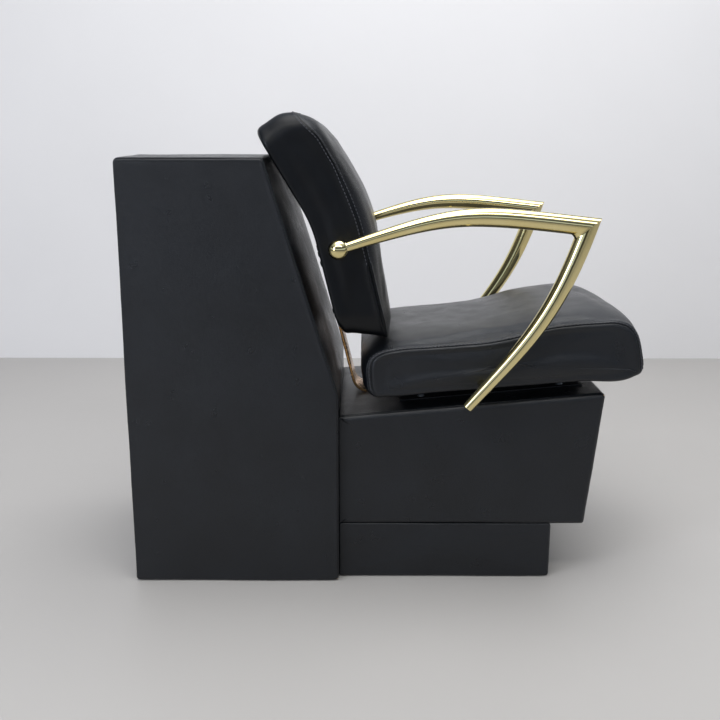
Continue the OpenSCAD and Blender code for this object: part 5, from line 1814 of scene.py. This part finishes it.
def button_head(material: Material) -> Object:
    """An M8 button-head bolt with a hex socket."""
    turns = 2 * math.pi * np.arange(36) / 36
    sector = (turns + math.pi / 6) % (math.pi / 3) - math.pi / 6
    hexagon = circle(36) * (math.cos(math.pi / 6) / np.cos(sector))[:, None]
    shank = [(4.0, -21.0), (4.0, 0.0)]
    head = [(6.6, 0.0), (7.0, 0.4), (6.9, 1.5), (6.2, 2.9), (4.9, 3.9), (3.2, 4.4)]
    return turned_piece("button_head_pattern", shank + head, [(2.75, 4.4), (2.75, 1.6)], hexagon, material)


def panel_screw(material: Material) -> Object:
    """A flat-topped panel screw with a cross recess."""
    turns = 2 * math.pi * np.arange(32) / 32
    cross = circle(32) * (0.42 + 0.58 * np.abs(np.cos(2 * turns)) ** 3)[:, None]
    shank = [(2.0, -14.0), (2.0, 0.0)]
    head = [(3.9, 0.0), (4.0, 0.5), (3.9, 1.6), (3.4, 2.2), (2.6, 2.4)]
    return turned_piece("panel_screw_pattern", shank + head, [(1.9, 2.4), (1.3, 1.1)], cross, material)


def back_screws(finishes: Finishes) -> None:
    """The screws of the cabinet's back panel."""
    low, tall = 3, 770 - 3 - 15 - 3
    shares = (0.08, 0.36, 0.64, 0.92)
    spots = [[2.5, side * 190.0, low + share * tall] for side in (-1, 1) for share in shares]
    pattern = panel_screw(finishes.steel)
    way = np.array([-1.0, 0.0, 0.0])
    fasteners("back_panel_cross_screws", "back_panel_screws", pattern, metres(spots), way, 4, finishes)


@dataclass
class DustCloth:
    """The thin cloth stapled under the seat, drawn tight and sagging a little between its staples."""

    x0: float = 79.0
    x1: float = 531.0
    half: float = 196.0
    top: float = 32.75
    thick: float = 0.7
    sag: float = 0.72

    def build(self, finishes: Finishes) -> None:
        """Makes the cloth."""
        xs, ys = np.linspace(self.x0, self.x1, 91), np.linspace(-self.half, self.half, 79)
        grid_x, grid_y = np.meshgrid(xs, ys, indexing="ij")
        edge = np.minimum.reduce([grid_x - self.x0, self.x1 - grid_x, self.half - np.abs(grid_y)])
        spots = np.stack([grid_x, grid_y, np.zeros_like(grid_x)], axis=-1)
        wave = ripple(spots, 60, 71) * 0.125 * (1 - np.exp(-edge / 15))
        spots[..., 2] = self.top - self.sag * (1 - np.exp(-edge / 30)) + wave
        skin = Skin()
        a = skin.grid(on_seat(spots), False)
        b = skin.grid(on_seat(spots - (0, 0, self.thick)), False)
        tall, wide = len(xs), len(ys)
        border = (
            [(i, 0) for i in range(tall)]
            + [(tall - 1, j) for j in range(1, wide)]
            + [(i, wide - 1) for i in range(tall - 2, -1, -1)]
            + [(0, j) for j in range(wide - 2, 0, -1)]
        )
        for (i, j), (m, n) in zip(border, border[1:] + border[:1]):
            skin.faces.append((a + i * wide + j, a + m * wide + n, b + m * wide + n, b + i * wide + j))
        piece = skin.to_object("seat_dust_cloth", finishes.cloth, 50)
        settle(piece, Slot.CLOTH, "seat_dust_cover")


# ---------------------------------------------------------------- studio


@dataclass(frozen=True)
class Studio:
    """Camera, pale floor and wall, and soft lamps."""

    lens: float = 46.0555
    sensor: float = 36.0
    eye: tuple[float, float, float] = (-0.0376, -1.7980, 0.7815)
    pitch: float = 12.8134
    yaw: float = 0.2891
    reach: float = 6.0
    wall_y: float = 1.67
    wall_top: float = 1.7
    # Height in the mirrored room, 0 straight down and 1 straight up, and its colour there
    mirrored: tuple[tuple[float, str], ...] = (
        (0.0, "#85868a"), (0.455, "#a4a8af"), (0.495, "#3c3b38"), (0.53, "#23221f"), (0.56, "#d3e3ff"),
        (0.63, "#c4d4ee"), (0.67, "#505459"), (0.74, "#4a4d52"), (0.82, "#b8c2d2"), (0.92, "#b9c1cf"),
        (1.0, "#a2a4a7"),
    )

    def build(self) -> None:
        """Sets up everything that isn't the chair."""
        self.camera()
        self.room()
        self.lamps()
        self.world()
        bpy.context.scene.view_settings.view_transform = "Standard"

    def camera(self) -> None:
        """The photograph's camera."""
        data = bpy.data.cameras.new("camera")
        data.lens = self.lens
        data.sensor_width = self.sensor
        data.clip_start = 0.05
        made = link(bpy.data.objects.new("camera", data))
        made.location = self.eye
        made.rotation_euler = (math.radians(90 - self.pitch), 0.0, math.radians(self.yaw))
        bpy.context.scene.camera = made

    @staticmethod
    def plain(name: str, colour: str, roughness: float) -> Material:
        """A pale matt stage finish with a faint cloudiness."""
        shade = Shade(name)
        base = srgb(colour)
        lighter = tuple(min(1.0, c * 1.06) for c in base[:3]) + (1.0,)
        shade.colour(base, lighter, shade.noise(2.2, 3.0))
        shade.shader.inputs["Roughness"].default_value = roughness
        return shade.material

    def room(self) -> None:
        """Floor and wall."""
        far, back, top = self.reach, self.wall_y, self.wall_top
        corners = [(-far, -far, 0), (far, -far, 0), (far, back, 0), (-far, back, 0)]
        floor = self.sheet("floor", corners, self.plain("pale_floor", "#a9a7a5", 0.55))
        corners = [(-far, back, 0), (far, back, 0), (far, back, top), (-far, back, top)]
        wall = self.sheet("wall", corners, self.one_sided(self.plain("pale_wall", "#dbdbdd", 0.9)))

    @staticmethod
    def one_sided(material: Material) -> Material:
        """Leaves a wall open from behind, so that the chair's far side can be seen too."""
        tree = material.node_tree
        end = next(node for node in tree.nodes if node.type == "OUTPUT_MATERIAL")
        front = end.inputs["Surface"].links[0].from_socket
        behind = add_node(tree, "ShaderNodeNewGeometry").outputs["Backfacing"]
        clear = add_node(tree, "ShaderNodeBsdfTransparent").outputs["BSDF"]
        both = add_node(tree, "ShaderNodeMixShader", {}, {}, {0: behind, 1: front, 2: clear})
        tree.links.new(both.outputs["Shader"], end.inputs["Surface"])
        return material

    @staticmethod
    def sheet(name: str, corners: Sequence[tuple[float, float, float]], material: Material) -> Object:
        """One flat stage piece."""
        mesh = bpy.data.meshes.new(name)
        mesh.from_pydata([Vector(c) for c in corners], [], [(0, 1, 2, 3)])
        mesh.materials.append(material)
        return link(bpy.data.objects.new(name, mesh))

    def lamps(self) -> None:
        """A wide lamp overhead, a long soft strip before the chair and a window on the camera's left."""
        self.lamp("overhead", (0.2, 0.1, 2.9), (0.1, 0.2, 0.0), (3.0, 1.8), 62.0, "#ffffff")
        self.lamp("strip", (0.1, -1.7, 2.6), (0.1, 0.0, 0.5), (3.6, 0.42), 30.0, "#fffdf8")
        self.lamp("window", (-2.6, -2.4, 1.5), (0.0, 0.0, 0.4), (1.1, 1.9), 34.0, "#e9f0ff")

    @staticmethod
    def lamp(
        name: str,
        place: tuple[float, float, float],
        target: tuple[float, float, float],
        size: tuple[float, float],
        watts: float,
        colour: str,
    ) -> None:
        """One rectangular area lamp."""
        data = bpy.data.lights.new(name, "AREA")
        data.shape = "RECTANGLE"
        data.size, data.size_y = size
        data.energy = watts
        data.color = srgb(colour)[:3]
        made = link(bpy.data.objects.new(name, data))
        made.location = place
        made.rotation_euler = (Vector(target) - Vector(place)).to_track_quat("-Z", "Y").to_euler()

    def world(self) -> None:
        """Even soft light, and a room for the finishes to mirror, with a bright band above the floor."""
        world = bpy.data.worlds.new("studio")
        bpy.context.scene.world = world
        world.use_nodes = True
        tree = world.node_tree
        tree.nodes.clear()
        ray = add_node(tree, "ShaderNodeLightPath")
        place = add_node(tree, "ShaderNodeTexCoord").outputs["Generated"]
        split = add_node(tree, "ShaderNodeSeparateXYZ", links={"Vector": place})
        height = add_node(tree, "ShaderNodeMapRange", {}, {"From Min": -1.0}, {"Value": split.outputs["Z"]})
        room = add_node(tree, "ShaderNodeValToRGB", links={"Fac": height.outputs["Result"]})
        ramp = room.color_ramp
        while len(ramp.elements) < len(self.mirrored):
            ramp.elements.new(0.5)
        for element, (at, _) in zip(ramp.elements, self.mirrored):
            element.position = at
        for element, (_, colour) in zip(ramp.elements, self.mirrored):
            element.color = srgb(colour)
        even = add_node(tree, "ShaderNodeBackground", {}, {"Color": srgb("#f4f5f8"), "Strength": 0.62})
        links = {"Color": room.outputs["Color"]}
        mirror = add_node(tree, "ShaderNodeBackground", {}, {"Strength": 1.0}, links)
        glossy, lit, seen = ray.outputs["Is Glossy Ray"], even.outputs[0], mirror.outputs[0]
        mixed = add_node(tree, "ShaderNodeMixShader", links={0: glossy, 1: lit, 2: seen})
        add_node(tree, "ShaderNodeOutputWorld", links={"Surface": mixed.outputs["Shader"]})


# ---------------------------------------------------------------- the chair


def main() -> None:
    """Builds the studio and dresses the chair."""
    logging.basicConfig(level=logging.INFO, format="%(name)s: %(message)s")
    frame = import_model()
    Studio().build()
    finishes = Finishes()
    dress_nodes(finishes, frame["nodes"])
    for cover in box_covers():
        cover.build(finishes)
    SeatCushion().build(finishes)
    BackCushion().build(finishes)
    for side in Side:
        Arm(side).build(finishes)
    FlatBar().build(finishes)
    back_screws(finishes)
    DustCloth().build(finishes)


if __name__ == "__main__":
    main()
